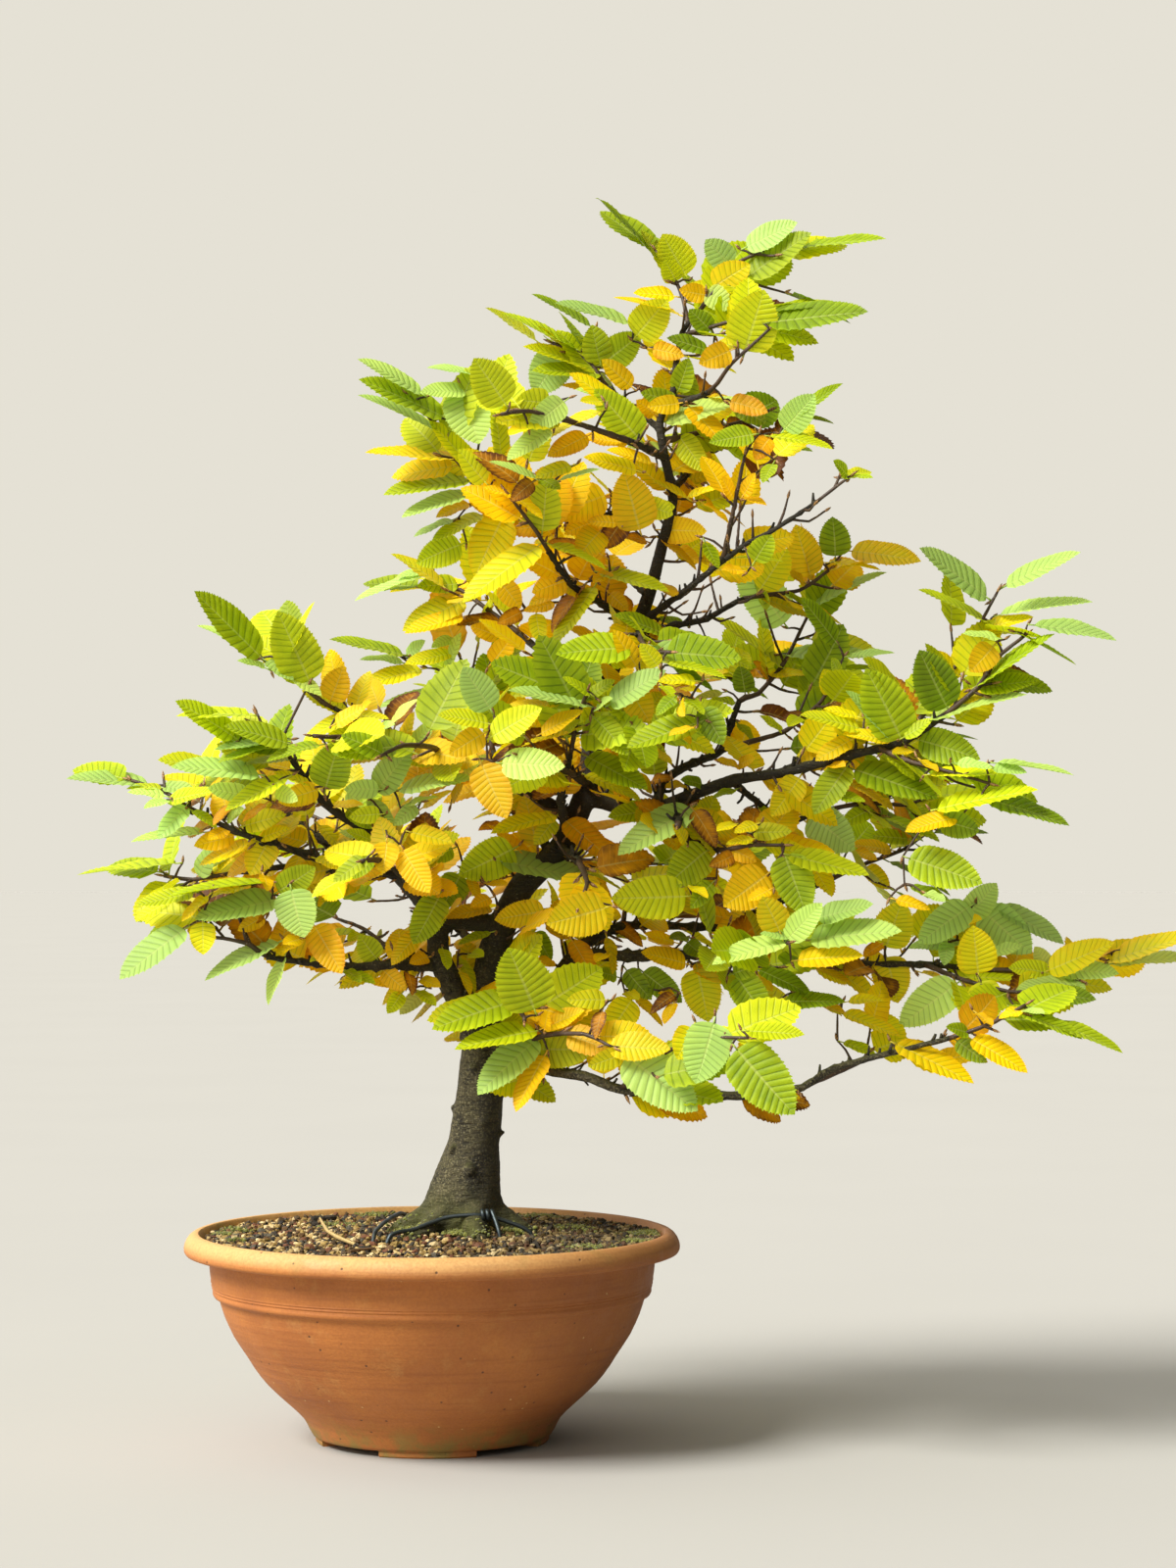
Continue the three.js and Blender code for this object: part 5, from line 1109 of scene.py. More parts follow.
class FrontLeaves:
    """The leaves that show from the front, each grown from the nearest twig at a fitting depth."""

    def __init__(self, foliage):
        self.foliage = foliage
        rows = np.array(SEEN.split(), float).reshape(-1, 6)
        self.spots, self.reaches, self.widths = rows[:, :2], rows[:, 2:4], rows[:, 4]
        # Leaves with 100 more get a painted sheen.
        self.pale = rows[:, 5] >= 100
        self.turned = rows[:, 5] / 100 - self.pale
        # Large leaves stand in front of the small, half-hidden ones.
        size = np.linalg.norm(self.reaches, axis=1) * self.widths
        self.depths = mix(-20, -115, np.clip(size / 900, 0, 1))
        self.best = np.full(len(rows), 1e9)
        self.carrier = np.zeros(len(rows), int)
        self.points, self.owners = np.zeros((0, 3)), []
        foliage.lay_cover(self.spots, self.reaches, self.widths)

    def carry(self, points, owner):
        """Adds points of a twig that leaves can grow from."""
        first = len(self.points)
        self.points = np.concatenate([self.points, points])
        self.owners += [owner] * len(points)
        gaps = np.linalg.norm(self.spots[:, None] - as_seen(points)[None], axis=2)
        costs = gaps + 0.13 * np.abs(points[None, :, 1] - self.depths[:, None])
        nearest = costs.argmin(axis=1)
        least = costs[np.arange(len(costs)), nearest]
        better = least < self.best
        self.best[better] = least[better]
        self.carrier[better] = first + nearest[better]

    def tone_at(self, point):
        """How far the leaves have turned that show near a point."""
        gaps = np.linalg.norm(self.spots + self.reaches * 0.5 - as_seen(point[None])[0], axis=1)
        return self.turned[gaps.argmin()]

    def grow(self):
        """Places the leaves, the nearest to a twig first. Gives the parts and the owner of each."""
        foliage, random = self.foliage, self.foliage.random
        waiting = np.ones(len(self.spots), bool)
        while waiting.any():
            i = int(np.where(waiting, self.best, 1e9).argmin())
            waiting[i] = False
            start, owner = self.points[self.carrier[i]], self.owners[self.carrier[i]]
            foliage.starts.append(start)
            chosen = None
            for shift in DEPTHS:
                y = float(np.clip(start[1] + shift, foliage.low[1] + 22, foliage.high[1] - 22))
                base = at_depth(self.spots[i], y)
                flat = at_depth(self.spots[i] + self.reaches[i], y) - base
                seen = np.linalg.norm(flat)
                length = float(np.clip(seen * 1.05, 17, 62))
                toward = math.sqrt(max(length**2 - seen**2, 0))
                axis = unit(flat + [0, -toward, 0])
                wide = self.widths[i] * (EYE[1] + y) / EYE[1]
                width = float(np.clip(wide, 0.54 * length, 0.8 * length))
                open_share = min(1.0, wide / width)
                view = unit(np.array([0, -1.0, 0]) + axis * axis[1])
                upper = np.cross(axis, view)
                upper = upper if upper[2] > 0 else -upper
                face = unit(view * open_share + upper * math.sqrt(1 - open_share**2))
                foot = base - axis * 4
                gap = foliage.gap_to(foot, axis, length) - 12 * foliage.is_hidden(foot, axis, length)
                if chosen is None or gap > chosen[0]:
                    chosen = (gap, foot, axis, face, length, width)
                if gap > ROOM["leaf"]:
                    break
            _, foot, axis, face, length, width = chosen
            foliage.front = np.concatenate([foliage.front, foliage.points_of(foot, axis, length)])
            droop = random.uniform(0.5, 3.5) * (1.3 if open_share < 0.5 else 0.7)
            turned, pale = self.turned[i], 0.9 * self.pale[i]
            parts = foliage.leaf(foot, axis, face, length, turned, droop, width, 4, pale)
            away = np.linalg.norm(foot - start)
            if away > 2:
                rise = np.array([0, 0, 0.1 * away])
                middle = mix(start, foot, 0.5) + rise
                line, radii = fine_line(np.array([start, middle, foot]), [0.85, 0.7, 0.55], step=5)
                parts.append(foliage.twig(line, radii, i))
                parts.append(foliage.bud(foot, unit(unit(foot - start) + 0.4 * axis), 5))
                self.carry(line[1:], owner)
            yield owner, parts


def setting_off(point, tangent, side, spread, random):
    """How a leaf or a shoot sets off from a twig: to one side, tilted to the light outside the crown."""
    outward = unit(point - np.array([*CROWN_MIDDLE, point[2]]))
    face = np.array([0, -0.4, 0.6]) + 0.5 * outward
    face[0] += mix(-0.35, 0.35, random())
    face[1] += mix(-0.35, 0.35, random())
    face = unit(face)
    across = unit(np.cross(tangent, face))
    turn = side * mix(0.75, 1.15, random()) * spread
    axis = tangent * math.cos(turn) + across * math.sin(turn)
    axis[2] += mix(-0.5, 0.1, random())
    axis = unit(axis)
    return axis, unit(face - axis * face.dot(axis))


def along(path, s):
    """The point on the straight line at a length along a path, the smooth point there, and the direction."""
    sums = sums_of(path)
    i = 1
    while i + 1 < len(path) and sums[i] < s:
        i += 1
    t = (s - sums[i - 1]) / (sums[i] - sums[i - 1])
    return mix(path[i - 1], path[i], t), spline(path, i - 1, t), unit(path[i] - path[i - 1])


class Spray:
    """The young end of one branch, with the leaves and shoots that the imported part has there."""

    def __init__(self, index, row):
        self.name, thick, thin, woody, self.hue, self.leaves, self.shoots, text = row
        self.index = index
        self.whole = read_path(text)
        self.first = max(woody - 1, 0)
        self.path = self.whole[self.first:]
        sums = sums_of(self.whole)
        self.radii = mix(thick, thin, sums / sums[-1])
        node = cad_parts["spray_" + self.name].data
        self.solid = BVHTree.FromPolygons([v.co for v in node.vertices], [p.vertices for p in node.polygons])

    def holds(self, points, least, reach=0.0003):
        """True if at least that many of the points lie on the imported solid's skin."""
        hits = [self.solid.find_nearest(Vector(p * MM), reach)[0] is not None for p in points]
        return sum(hits) >= least

    def packed_shoots(self):
        """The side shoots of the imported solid, drawn with the seeds that it has."""
        total = sums_of(self.path)[-1]
        found = []
        for number in range(self.shoots):
            side = 1 if number % 2 == 0 else -1
            for attempt in range(6):
                random = seeded(self.index * 1009 + number * 131 + attempt * 17 + 401)
                point, _, tangent = along(self.path, total * (0.4 + 0.3 * number))
                axis, _ = setting_off(point, tangent, side, 0.8, random)
                end = point + axis * mix(SHOOT["short"], SHOOT["long"], random())
                if self.holds([end], 1, 0.0009):
                    found.append(np.array([point, end]))
                    break
        return found

    def packed_leaves(self, shoots):
        """Base, axis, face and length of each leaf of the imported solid, drawn with the seeds that it has."""
        number, found = 0, []
        petiole = LEAF["petiole"]
        for path, leaves in [(self.path, self.leaves)] + [(shoot, 1) for shoot in shoots]:
            total = sums_of(path)[-1]
            step = min(LEAF["spacing"], (total - 6) / max(leaves - 1, 1))
            for i in range(leaves):
                side = 0.15 if i == 0 else 1 - 2 * (i % 2)
                for attempt in range(6):
                    random = seeded(self.index * 1009 + number * 31 + attempt * 7 + 5)
                    point, smooth, tangent = along(path, total - i * step)
                    axis, face = setting_off(point, tangent, side, 1, random)
                    length = mix(LEAF["short"], LEAF["long"], random()) * LEAF_GROWTH[self.hue]
                    across, half = np.cross(face, axis), length * LEAF["width"] / 2
                    wide = point + axis * (petiole + 0.28 * length) + face * 0.2 * half
                    probes = [point + axis * (petiole + length), wide + across * half, wide - across * half]
                    if self.holds(probes, 2):
                        found.append((smooth, axis, face, length))
                        break
                number += 1
        return found


def leafy_shoot(foliage, start, axis, length, leaves, tone, seed, growth=1.0):
    """A side shoot with its own leaves and buds, where there is room for them."""
    random = foliage.random
    draw = seeded(seed)
    bend = unit(axis + np.array([0, 0, 0.25]))
    line = np.array([start, start + axis * length * 0.5, start + axis * length * 0.5 + bend * length * 0.5])
    parts, reach = [], 0
    for i in range(leaves):
        side = 0.2 if i == 0 else 1 - 2 * (i % 2)
        far = max(length - i * 11.0 - 1, 2)
        _, point, tangent = along(line, far)
        for _ in range(4):
            leaf_axis, face = setting_off(point, tangent, side, 1, draw)
            leaf_axis = unit(leaf_axis + [0, 0, mix(0.1, 0.45, draw())])
            face = unit(face - leaf_axis * face.dot(leaf_axis))
            size = mix(LEAF["short"], LEAF["long"], draw()) * growth
            if foliage.gap_to(point, leaf_axis, size) < ROOM["leaf"]:
                continue
            inside = foliage.is_inside(point, leaf_axis, face, size)
            if inside and foliage.is_behind(point, leaf_axis, face, size):
                turned = tone + 0.03 * i + random.normal(0, 0.08)
                if random.random() < 0.07:
                    turned = random.uniform(0.88, 0.98)
                parts += foliage.leaf(point, leaf_axis, face, size, turned, random.uniform(1, 4))
                parts.append(foliage.bud(point, unit(tangent + 0.35 * leaf_axis)))
                reach = max(reach, far)
                break
    if reach:
        foliage.starts.append(start)
        fine, radii = fine_line(line, [0.95, 0.8, 0.65], step=2)
        count = max(3, (sums_of(fine) < reach + 2).sum())
        parts += foliage.budded_twig(fine[:count], radii[:count], seed, 6)
    return parts


# Wood


def woods():
    """Name, points, radii and last old point of the leader, the roots and every branch."""
    leader = np.array(LEADER, float)
    # The trunk has a waist above its foot.
    leader[:, 3] *= 1 - 0.13 * np.exp(-(((leader[:, 2] - 176) / 26) ** 2))
    found = [("leader", leader[:, :3], leader[:, 3], len(leader) - 1)]
    for compass, reach, radius in ROOTS:
        way, foot = level_way(compass), np.array([*TRUNK_FOOT, 0.0])
        stops = [*ROOT_START, (reach, ROOT_HEIGHT), (reach + ROOT_END[0], ROOT_END[1])]
        path = np.array([foot + way * far + [0, 0, z] for far, z in stops])
        found.append((f"root_{compass}", path, np.array([radius, radius * 0.95, radius * 0.55, 2.5]), 3))
    for name, thick, thin, woody, _, _, _, text in BRANCHES:
        if woody:
            path = read_path(text)
            sums = sums_of(path)
            found.append((name, path, mix(thick, thin, sums / sums[-1]), woody - 1))
    return found


def soil_top(x, y):
    """Height of the soil: a low mound round the trunk and small waves, level at the rim."""
    mound = SOIL_MOUND["height"] * np.exp(-((from_foot(x, y) / SOIL_MOUND["spread"]) ** 2))
    waves = np.sin(x * 0.11 + 1) * np.cos(y * 0.13) + 0.6 * np.sin(x * 0.05 - y * 0.09)
    top = SOIL_EDGE + 1 + mound + 0.8 * waves
    rim = np.clip((np.hypot(x, y) - 118) / 20, 0, 1)
    return mix(top, SOIL_EDGE + 2, rim)


class BONSAI_OT_stage(bpy.types.Operator):
    """Sets up the camera, the pale floor and the soft studio light"""

    bl_idname = "bonsai.stage"
    bl_label = "Stage"
    bl_options = {"REGISTER", "UNDO"}

    def execute(self, context):
        s = context.scene.bonsai_stage
        camera = placed("camera", bpy.data.cameras.new("camera"))
        camera.location = (EYE[0] * MM, -EYE[1] * MM, EYE[2] * MM)
        camera.rotation_euler = (math.radians(90), 0, 0)
        camera.data.lens = CAMERA["lens"]
        camera.data.sensor_fit = "VERTICAL"
        camera.data.sensor_height = CAMERA["film"]
        camera.data.shift_y = CAMERA["shift"]
        camera.data.dof.use_dof = False
        context.scene.camera = camera
        context.scene.view_settings.view_transform = "Standard"

        radius, corners = FLOOR["radius"], FLOOR["corners"]
        angle = np.linspace(0, 2 * np.pi, corners, endpoint=False)
        disc = np.stack([radius * np.cos(angle), radius * np.sin(angle), 0 * angle], 1)
        mesh = mesh_of("floor", [part(disc, [list(range(corners))])])
        mesh.materials.append(plaster(s))
        floor = placed("floor", mesh)

        for name, (toward, spread) in SUNS.items():
            light = bpy.data.lights.new(name + "_light", "SUN")
            light.energy, light.angle = getattr(s, name), math.radians(spread)
            lamp = placed(name + "_light", light)
            lamp.rotation_euler = Vector(toward).to_track_quat("-Z", "Y").to_euler()
        world = bpy.data.worlds.new("surround")
        world.use_nodes = True
        tree = world.node_tree
        tree.nodes.clear()
        # The soft light all round is brighter from the left and from above.
        way = add(tree, "TexCoord", out="Generated")
        across, up = (add(tree, "SeparateXYZ", {0: way}, axis) for axis in "XZ")
        power = both(tree, (across, -0.8, 0.75, 1.8, 0.06), (up, 0.1, 0.9, 1.0, 1.5))
        power = add(tree, "Math", {0: power, 1: s.surround}, operation="MULTIPLY")
        light = add(tree, "Background", {0: s.sky, 1: power})
        # Behind the tree it is one plain colour.
        plain = add(tree, "Background", {0: s.backdrop, 1: 1.0})
        shown = add(tree, "LightPath", out="Is Camera Ray")
        add(tree, "OutputWorld", {0: add(tree, "MixShader", {0: shown, 1: light, 2: plain})})
        context.scene.world = world
        return {"FINISHED"}


class BONSAI_OT_pot(bpy.types.Operator):
    """Turns the terracotta bowl with its rolled lip, ribs, foot pads and drain holes"""

    bl_idname = "bonsai.pot"
    bl_label = "Pot"
    bl_options = {"REGISTER", "UNDO"}

    def execute(self, context):
        s = context.scene.bonsai_pot
        bowl = placed("bowl", mesh_of("bowl", [turned_bowl(s.segments)]))
        drill = placed("drill", mesh_of("drill", drills()))
        cut = bowl.modifiers.new("holes", "BOOLEAN")
        cut.operation, cut.object, cut.solver = "DIFFERENCE", drill, "EXACT"
        joined = join_meshes("terracotta_bowl", [evaluated(bowl), mesh_of("feet", foot_pads())])
        for spare in (bowl, drill):
            bpy.data.objects.remove(spare)
        show("terracotta_bowl", joined, [earthenware(s)], "terracotta", "pot")
        return {"FINISHED"}


def turned_bowl(count):
    """The bowl without its holes and pads, with that many facets round it."""
    profile = np.array(POT_PROFILE, float)[1:-1]
    rows = len(profile)
    angle = 2 * np.pi * np.arange(count) / count
    # Hand-turned bowls are never quite round. The lip, 127 mm up, is the least so.
    wobble = 1 + 0.0011 * np.sin(2 * angle + 0.6) + 0.0005 * np.sin(5 * angle)
    r = profile[:, :1] * mix(1, wobble, np.clip(profile[:, 1:] / 127, 0, 1))
    z = np.broadcast_to(profile[:, 1:], r.shape)
    vertices = np.stack([r * np.cos(angle), r * np.sin(angle), z], -1).reshape(-1, 3)
    caps = [list(reversed(range(count))), [(rows - 1) * count + k for k in range(count)]]
    return part(vertices, ring_faces(rows, count) + caps)


def drills():
    """The round bars that cut the drain holes."""
    bars = []
    for i in range(DRAIN["count"]):
        turn = 2 * math.pi * (i + 0.5) / DRAIN["count"]
        x, y = DRAIN["ring"] * math.cos(turn), DRAIN["ring"] * math.sin(turn)
        bars.append(tube([(x, y, -3), (x, y, 5), (x, y, 13)], [DRAIN["radius"]] * 3, 32))
    return bars


def foot_pads():
    """The pads under the bowl: sectors of a ring with eased lower edges."""
    pads = []
    inner, outer, top = PAD["inner"], PAD["outer"], PAD["top"]
    hoop = [(inner + 0.8, 0), (outer - 0.8, 0), (outer, 0.9), (outer, top), (inner, top), (inner, 0.9)]
    half, steps, sides = math.radians(PAD["half_angle"]), 13, len(hoop)
    for i in range(PAD["count"]):
        middle = 2 * math.pi * i / PAD["count"]
        turns = np.linspace(middle - half, middle + half, steps)
        points = np.array([[(r * math.cos(turn), r * math.sin(turn), z) for r, z in hoop] for turn in turns])
        caps = [list(range(sides)), list(reversed(range(sides * (steps - 1), sides * steps)))]
        pads.append(part(points.reshape(-1, 3), flipped(ring_faces(steps, sides)) + caps))
    return pads


def join_meshes(name, meshes):
    """Several meshes as one, smooth except at edges that turn by more than 40 degrees."""
    vertices, faces = [], []
    for mesh in meshes:
        offset = len(vertices)
        vertices += [tuple(v.co) for v in mesh.vertices]
        faces += [[i + offset for i in p.vertices] for p in mesh.polygons]
    joined = bpy.data.meshes.new(name)
    joined.from_pydata(vertices, [], faces)
    joined.polygons.foreach_set("use_smooth", np.ones(len(faces), bool))
    joined.set_sharp_from_angle(angle=math.radians(40))
    joined.update()
    return joined


class BONSAI_OT_screen(bpy.types.Operator):
    """Gives the drain screen its moulded net"""

    bl_idname = "bonsai.screen"
    bl_label = "Drain screen"
    bl_options = {"REGISTER", "UNDO"}

    def execute(self, context):
        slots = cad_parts["drain_screen"].data.materials
        finish = plastic_mesh()
        for i in range(len(slots)):
            slots[i] = finish
        return {"FINISHED"}


def lump():
    """A regular solid of 12 points and 20 faces, for a grain."""
    g = (1 + math.sqrt(5)) / 2
    points = [
        (-1, g, 0), (1, g, 0), (-1, -g, 0), (1, -g, 0), (0, -1, g), (0, 1, g), (0, -1, -g), (0, 1, -g),
        (g, 0, -1), (g, 0, 1), (-g, 0, -1), (-g, 0, 1),
    ]
    faces = [
        (0, 11, 5), (0, 5, 1), (0, 1, 7), (0, 7, 10), (0, 10, 11), (1, 5, 9), (5, 11, 4), (11, 10, 2),
        (10, 7, 6), (7, 1, 8), (3, 9, 4), (3, 4, 2), (3, 2, 6), (3, 6, 8), (3, 8, 9), (4, 9, 5), (2, 4, 11),
        (6, 2, 10), (8, 6, 7), (9, 8, 1),
    ]
    return np.array(points) / math.hypot(1, g), np.array(faces)


def lumps(centres, radii, states, random, uneven=0.3, flat=0.85):
    """Many small broken lumps as one part."""
    points, faces = lump()
    count = len(centres)
    shape = points[None] * (1 + uneven * (random.random((count, 12, 1)) - 0.5) * 2)
    stretch = random.uniform(0.75, 1.25, (count, 1, 3)) * [1, 1, flat]
    turn = random.uniform(0, 2 * np.pi, count)
    c, s = np.cos(turn)[:, None], np.sin(turn)[:, None]
    shape = shape * stretch
    x, y = shape[..., 0] * c - shape[..., 1] * s, shape[..., 0] * s + shape[..., 1] * c
    tilt = random.uniform(-0.8, 0.8, count)
    c, s = np.cos(tilt)[:, None], np.sin(tilt)[:, None]
    y, z = y * c - shape[..., 2] * s, y * s + shape[..., 2] * c
    vertices = centres[:, None] + np.stack([x, y, z], -1) * radii[:, None, None]
    all_faces = (faces[None] + 12 * np.arange(count)[:, None, None]).reshape(-1, 3)
    made = part(vertices.reshape(-1, 3), all_faces)
    made["state"] = np.repeat(states, 12, axis=0)
    return made


class BONSAI_OT_soil(bpy.types.Operator):
    """Fills the bowl with humus, sieved grit and patches of moss"""

    bl_idname = "bonsai.soil"
    bl_label = "Soil"
    bl_options = {"REGISTER", "UNDO"}

    def execute(self, context):
        s = context.scene.bonsai_soil
        random = np.random.default_rng(7)
        show("soil_bed", mesh_of("soil_bed", [soil_bed()]), [humus(s)], "soil", "soil")
        mesh = mesh_of("grit", [grains(s, random), *litter()])
        mesh.polygons.foreach_set("use_smooth", np.zeros(len(mesh.polygons), bool))
        show("grit", mesh, [grit()], "soil")
        show("moss", mesh_of("moss", root_moss(random) + moss_patches(random)), [cushion_moss(s)], "soil")
        return {"FINISHED"}


def soil_bed():
    """The bed under the grains, closed below so that it is a body."""
    rings, spokes = BED["rings"], BED["spokes"]
    radius = SOIL_RADIUS * (np.arange(rings + 1) / rings)[1:]
    angle = 2 * np.pi * np.arange(spokes) / spokes
    x, y = radius[:, None] * np.cos(angle), radius[:, None] * np.sin(angle)
    top = np.stack([x, y, soil_top(x, y) - BED["under"]], -1).reshape(-1, 3)
    low = np.stack([x[-1] * BED["taper"], y[-1] * BED["taper"], 0 * x[-1] + BED["low"]], -1)
    vertices = np.concatenate([top, low, [[0, 0, soil_top(0.0, 0.0) - BED["under"]]]])
    centre = len(vertices) - 1
    faces = [[centre, k, (k + 1) % spokes] for k in range(spokes)]
    faces += flipped(ring_faces(rings + 1, spokes))
    faces.append([rings * spokes + k for k in reversed(range(spokes))])
    return part(vertices, faces)


def grains(s, random):
    """Grains on a loose grid, with larger ones strewn among them."""
    pitch = s.pitch / MM
    side = np.arange(-SOIL_RADIUS, SOIL_RADIUS, pitch)
    rows = np.arange(-SOIL_RADIUS, SOIL_RADIUS, pitch * 0.87)
    grid = np.array([(gx + (j % 2) * pitch / 2, gy) for j, gy in enumerate(rows) for gx in side])
    grid += random.uniform(-0.45, 0.45, grid.shape) * pitch
    grid = grid[(np.hypot(*grid.T) < SOIL_RADIUS - 1) & (from_foot(*grid.T) > 24)]
    size = random.uniform(1.1, 2.3, len(grid))
    extra = random.uniform(-130, 130, (420, 2))
    extra = extra[(np.hypot(*extra.T) < 133) & (from_foot(*extra.T) > 30)]
    spots = np.concatenate([grid, extra])
    size = np.concatenate([size, random.uniform(1.7, s.coarse / MM, len(extra))])
    heights = soil_top(*spots.T) + random.uniform(-0.9, 0.7, len(spots))
    states = random.random((len(spots), 3))
    return lumps(np.column_stack([spots, heights]), size, states, random)


def litter():
    """Bits of dead stalk and bark, each a bent line on the soil."""
    made = []
    for x, y, compass, long, thick, shade, rise in LITTER:
        way = level_way(compass)
        aside = np.array([-way[1], way[0], 0]) * long * 0.06
        foot = np.array([x, y, soil_top(x, y) + 2])
        line = [
            foot + way * long * k + aside * math.sin(4 * k) + [0, 0, rise * k]
            for k in (0, 0.25, 0.5, 0.75, 1)
        ]
        made.append(tube(line, np.array([1, 1.1, 1, 0.9, 0.6]) * thick, 8, 0, (shade, 0, 0), 0.25))
    return made


def root_moss(random):
    """Lumps of moss on the surface roots."""
    parts, count = [], 60
    for compass, reach, radius in ROOTS:
        way = level_way(compass)
        far = random.uniform(14, reach + 4, count)[:, None]
        lean = random.normal(0, 0.7, (count, 1))
        skin = np.interp(far, [4, reach], [radius, radius * 0.55]) + 0.4
        stops = np.array([*ROOT_START, (reach, ROOT_HEIGHT)])
        line = np.array([*TRUNK_FOOT, 0]) + way * far + [0, 0, 1] * np.interp(far, stops[:, 0], stops[:, 1])
        aside, up = np.array([-way[1], way[0], 0]), np.array([0, 0, 1])
        centres = line + skin * (np.sin(lean) * aside + np.cos(lean) * up)
        sizes = random.uniform(0.8, 1.6, count)
        states = random.random((count, 3)) * [0.7, 1, 1]
        parts.append(lumps(centres, sizes, states, random, 0.25, 0.8))
    return parts


def moss_patches(random):
    """Patches of moss on the soil: lumps with small pointed leaves on them."""
    parts = []
    for mx, my, spread, number in MOSS:
        spots = random.normal(0, spread * 0.55, (number * 2, 2)) + [mx, my]
        spots = spots[(np.hypot(*spots.T) < SOIL_RADIUS - 1.5) & (from_foot(*spots.T) > 22)][:number]
        off = np.hypot(spots[:, 0] - mx, spots[:, 1] - my) / spread
        heights = soil_top(*spots.T) + 1.4 * np.exp(-off**2) + random.uniform(-0.3, 0.5, len(spots))
        centres = np.column_stack([spots, heights])
        states = random.random((len(spots), 3))
        parts.append(lumps(centres, random.uniform(0.8, 1.7, len(spots)), states, random, 0.25, 0.9))
        for centre, state in zip(centres, states):
            for _ in range(5):
                foot = centre + random.normal(0, 0.9, 3) * [1, 1, 0.2]
                lean = unit(np.array([random.normal(0, 0.5), random.normal(0, 0.5), 1]))
                wide = unit(np.cross(lean, [random.normal(), random.normal(), 0.1])) * 0.22
                tip = foot + lean * random.uniform(1.3, 2.6)
                blade = np.array([foot - wide, foot + wide, tip])
                parts.append(part(blade, [[0, 1, 2]], 0, None, (0.6 + 0.4 * state[0], state[1], 0)))
    return parts


class BONSAI_OT_wires(bpy.types.Operator):
    """Bends the two anchor wires over the roots"""

    bl_idname = "bonsai.wires"
    bl_label = "Anchor wires"
    bl_options = {"REGISTER", "UNDO"}

    def execute(self, context):
        finish = wire_finish(context.scene.bonsai_wire)
        for name, path in WIRES.items():
            line, radii = fine_line(np.array(path, float), [WIRE_RADIUS] * len(path), step=1.6)
            # Hand-bent wire has small kinks.
            line = line + np.array([[0.35 * noise(Vector(p * 0.09 + k)) for k in (0, 7, 13)] for p in line])
            parts = [tube(line, radii, 14)]
            if name == TWIST["wire"]:
                parts.append(self.twist())
            show(name + "_round", mesh_of(name + "_round", parts), [finish], "wire", name)
        return {"FINISHED"}

    def twist(self):
        """The end that is wound round the front wire."""
        turns = np.linspace(0, TWIST["turns"], 18 * TWIST["turns"])
        angle = 2 * math.pi * turns
        reach = 2 * WIRE_RADIUS
        coil = np.array(TWIST["start"]) + np.column_stack(
            [TWIST["pitch"] * turns, -reach * np.sin(angle), reach * np.cos(angle)]
        )
        tail, _ = fine_line(np.vstack([coil[-1], TWIST["tail"]]), [WIRE_RADIUS] * 4, step=1.6)
        line = np.vstack([coil, tail[1:]])
        return tube(line, np.full(len(line), WIRE_RADIUS), 14)


def collared(radii, line, flare=0.3):
    """Radii that widen into a collar over the first stretch of a line."""
    return radii * (1 + flare * np.exp(-sums_of(line) / (2.2 * radii[0])))


def knotted(radii, seed):
    """Radii with a swelling here and there, where old shoots were cut."""
    random = np.random.default_rng(seed + 60)
    return radii * (1 + np.where(random.random(len(radii)) < 0.16, random.uniform(0.15, 0.4, len(radii)), 0))


def spurs(line, radii, seed):
    """Points and radii of the short stubs along old wood, left where shoots were pruned."""
    random = np.random.default_rng(seed + 20)
    made = []
    for i in range(3, len(line) - 1, 2):
        if random.random() < 0.3:
            continue
        way = offshoot(unit(line[i + 1] - line[i - 1]), random, 0.4)
        length = radii[i] + random.uniform(2, 7.5)
        bend = unit(way + [0, 0, 0.5]) * length * 0.4
        middle = line[i] + way * length * 0.6
        points = np.array([line[i] + way * radii[i] * 0.4, middle, middle + bend])
        made.append((points, np.array([1.25, 0.95, 0.7]) * random.uniform(0.7, 1.2)))
    return made


def trunk_knots(leader):
    """Short stumps of old shoots on the trunk."""
    made = []
    for compass, z, radius, reach in KNOTS:
        i = int(np.abs(leader[:, 2] - z).argmin())
        way = level_way(compass) + [0, 0, 0.35]
        skin = leader[i, 3]
        points = [leader[i, :3] + way * far for far in (skin * 0.6, skin + reach * 0.5, skin + reach)]
        made.append(tube(points, [radius * 1.5, radius, radius * 0.7], 10))
    return made


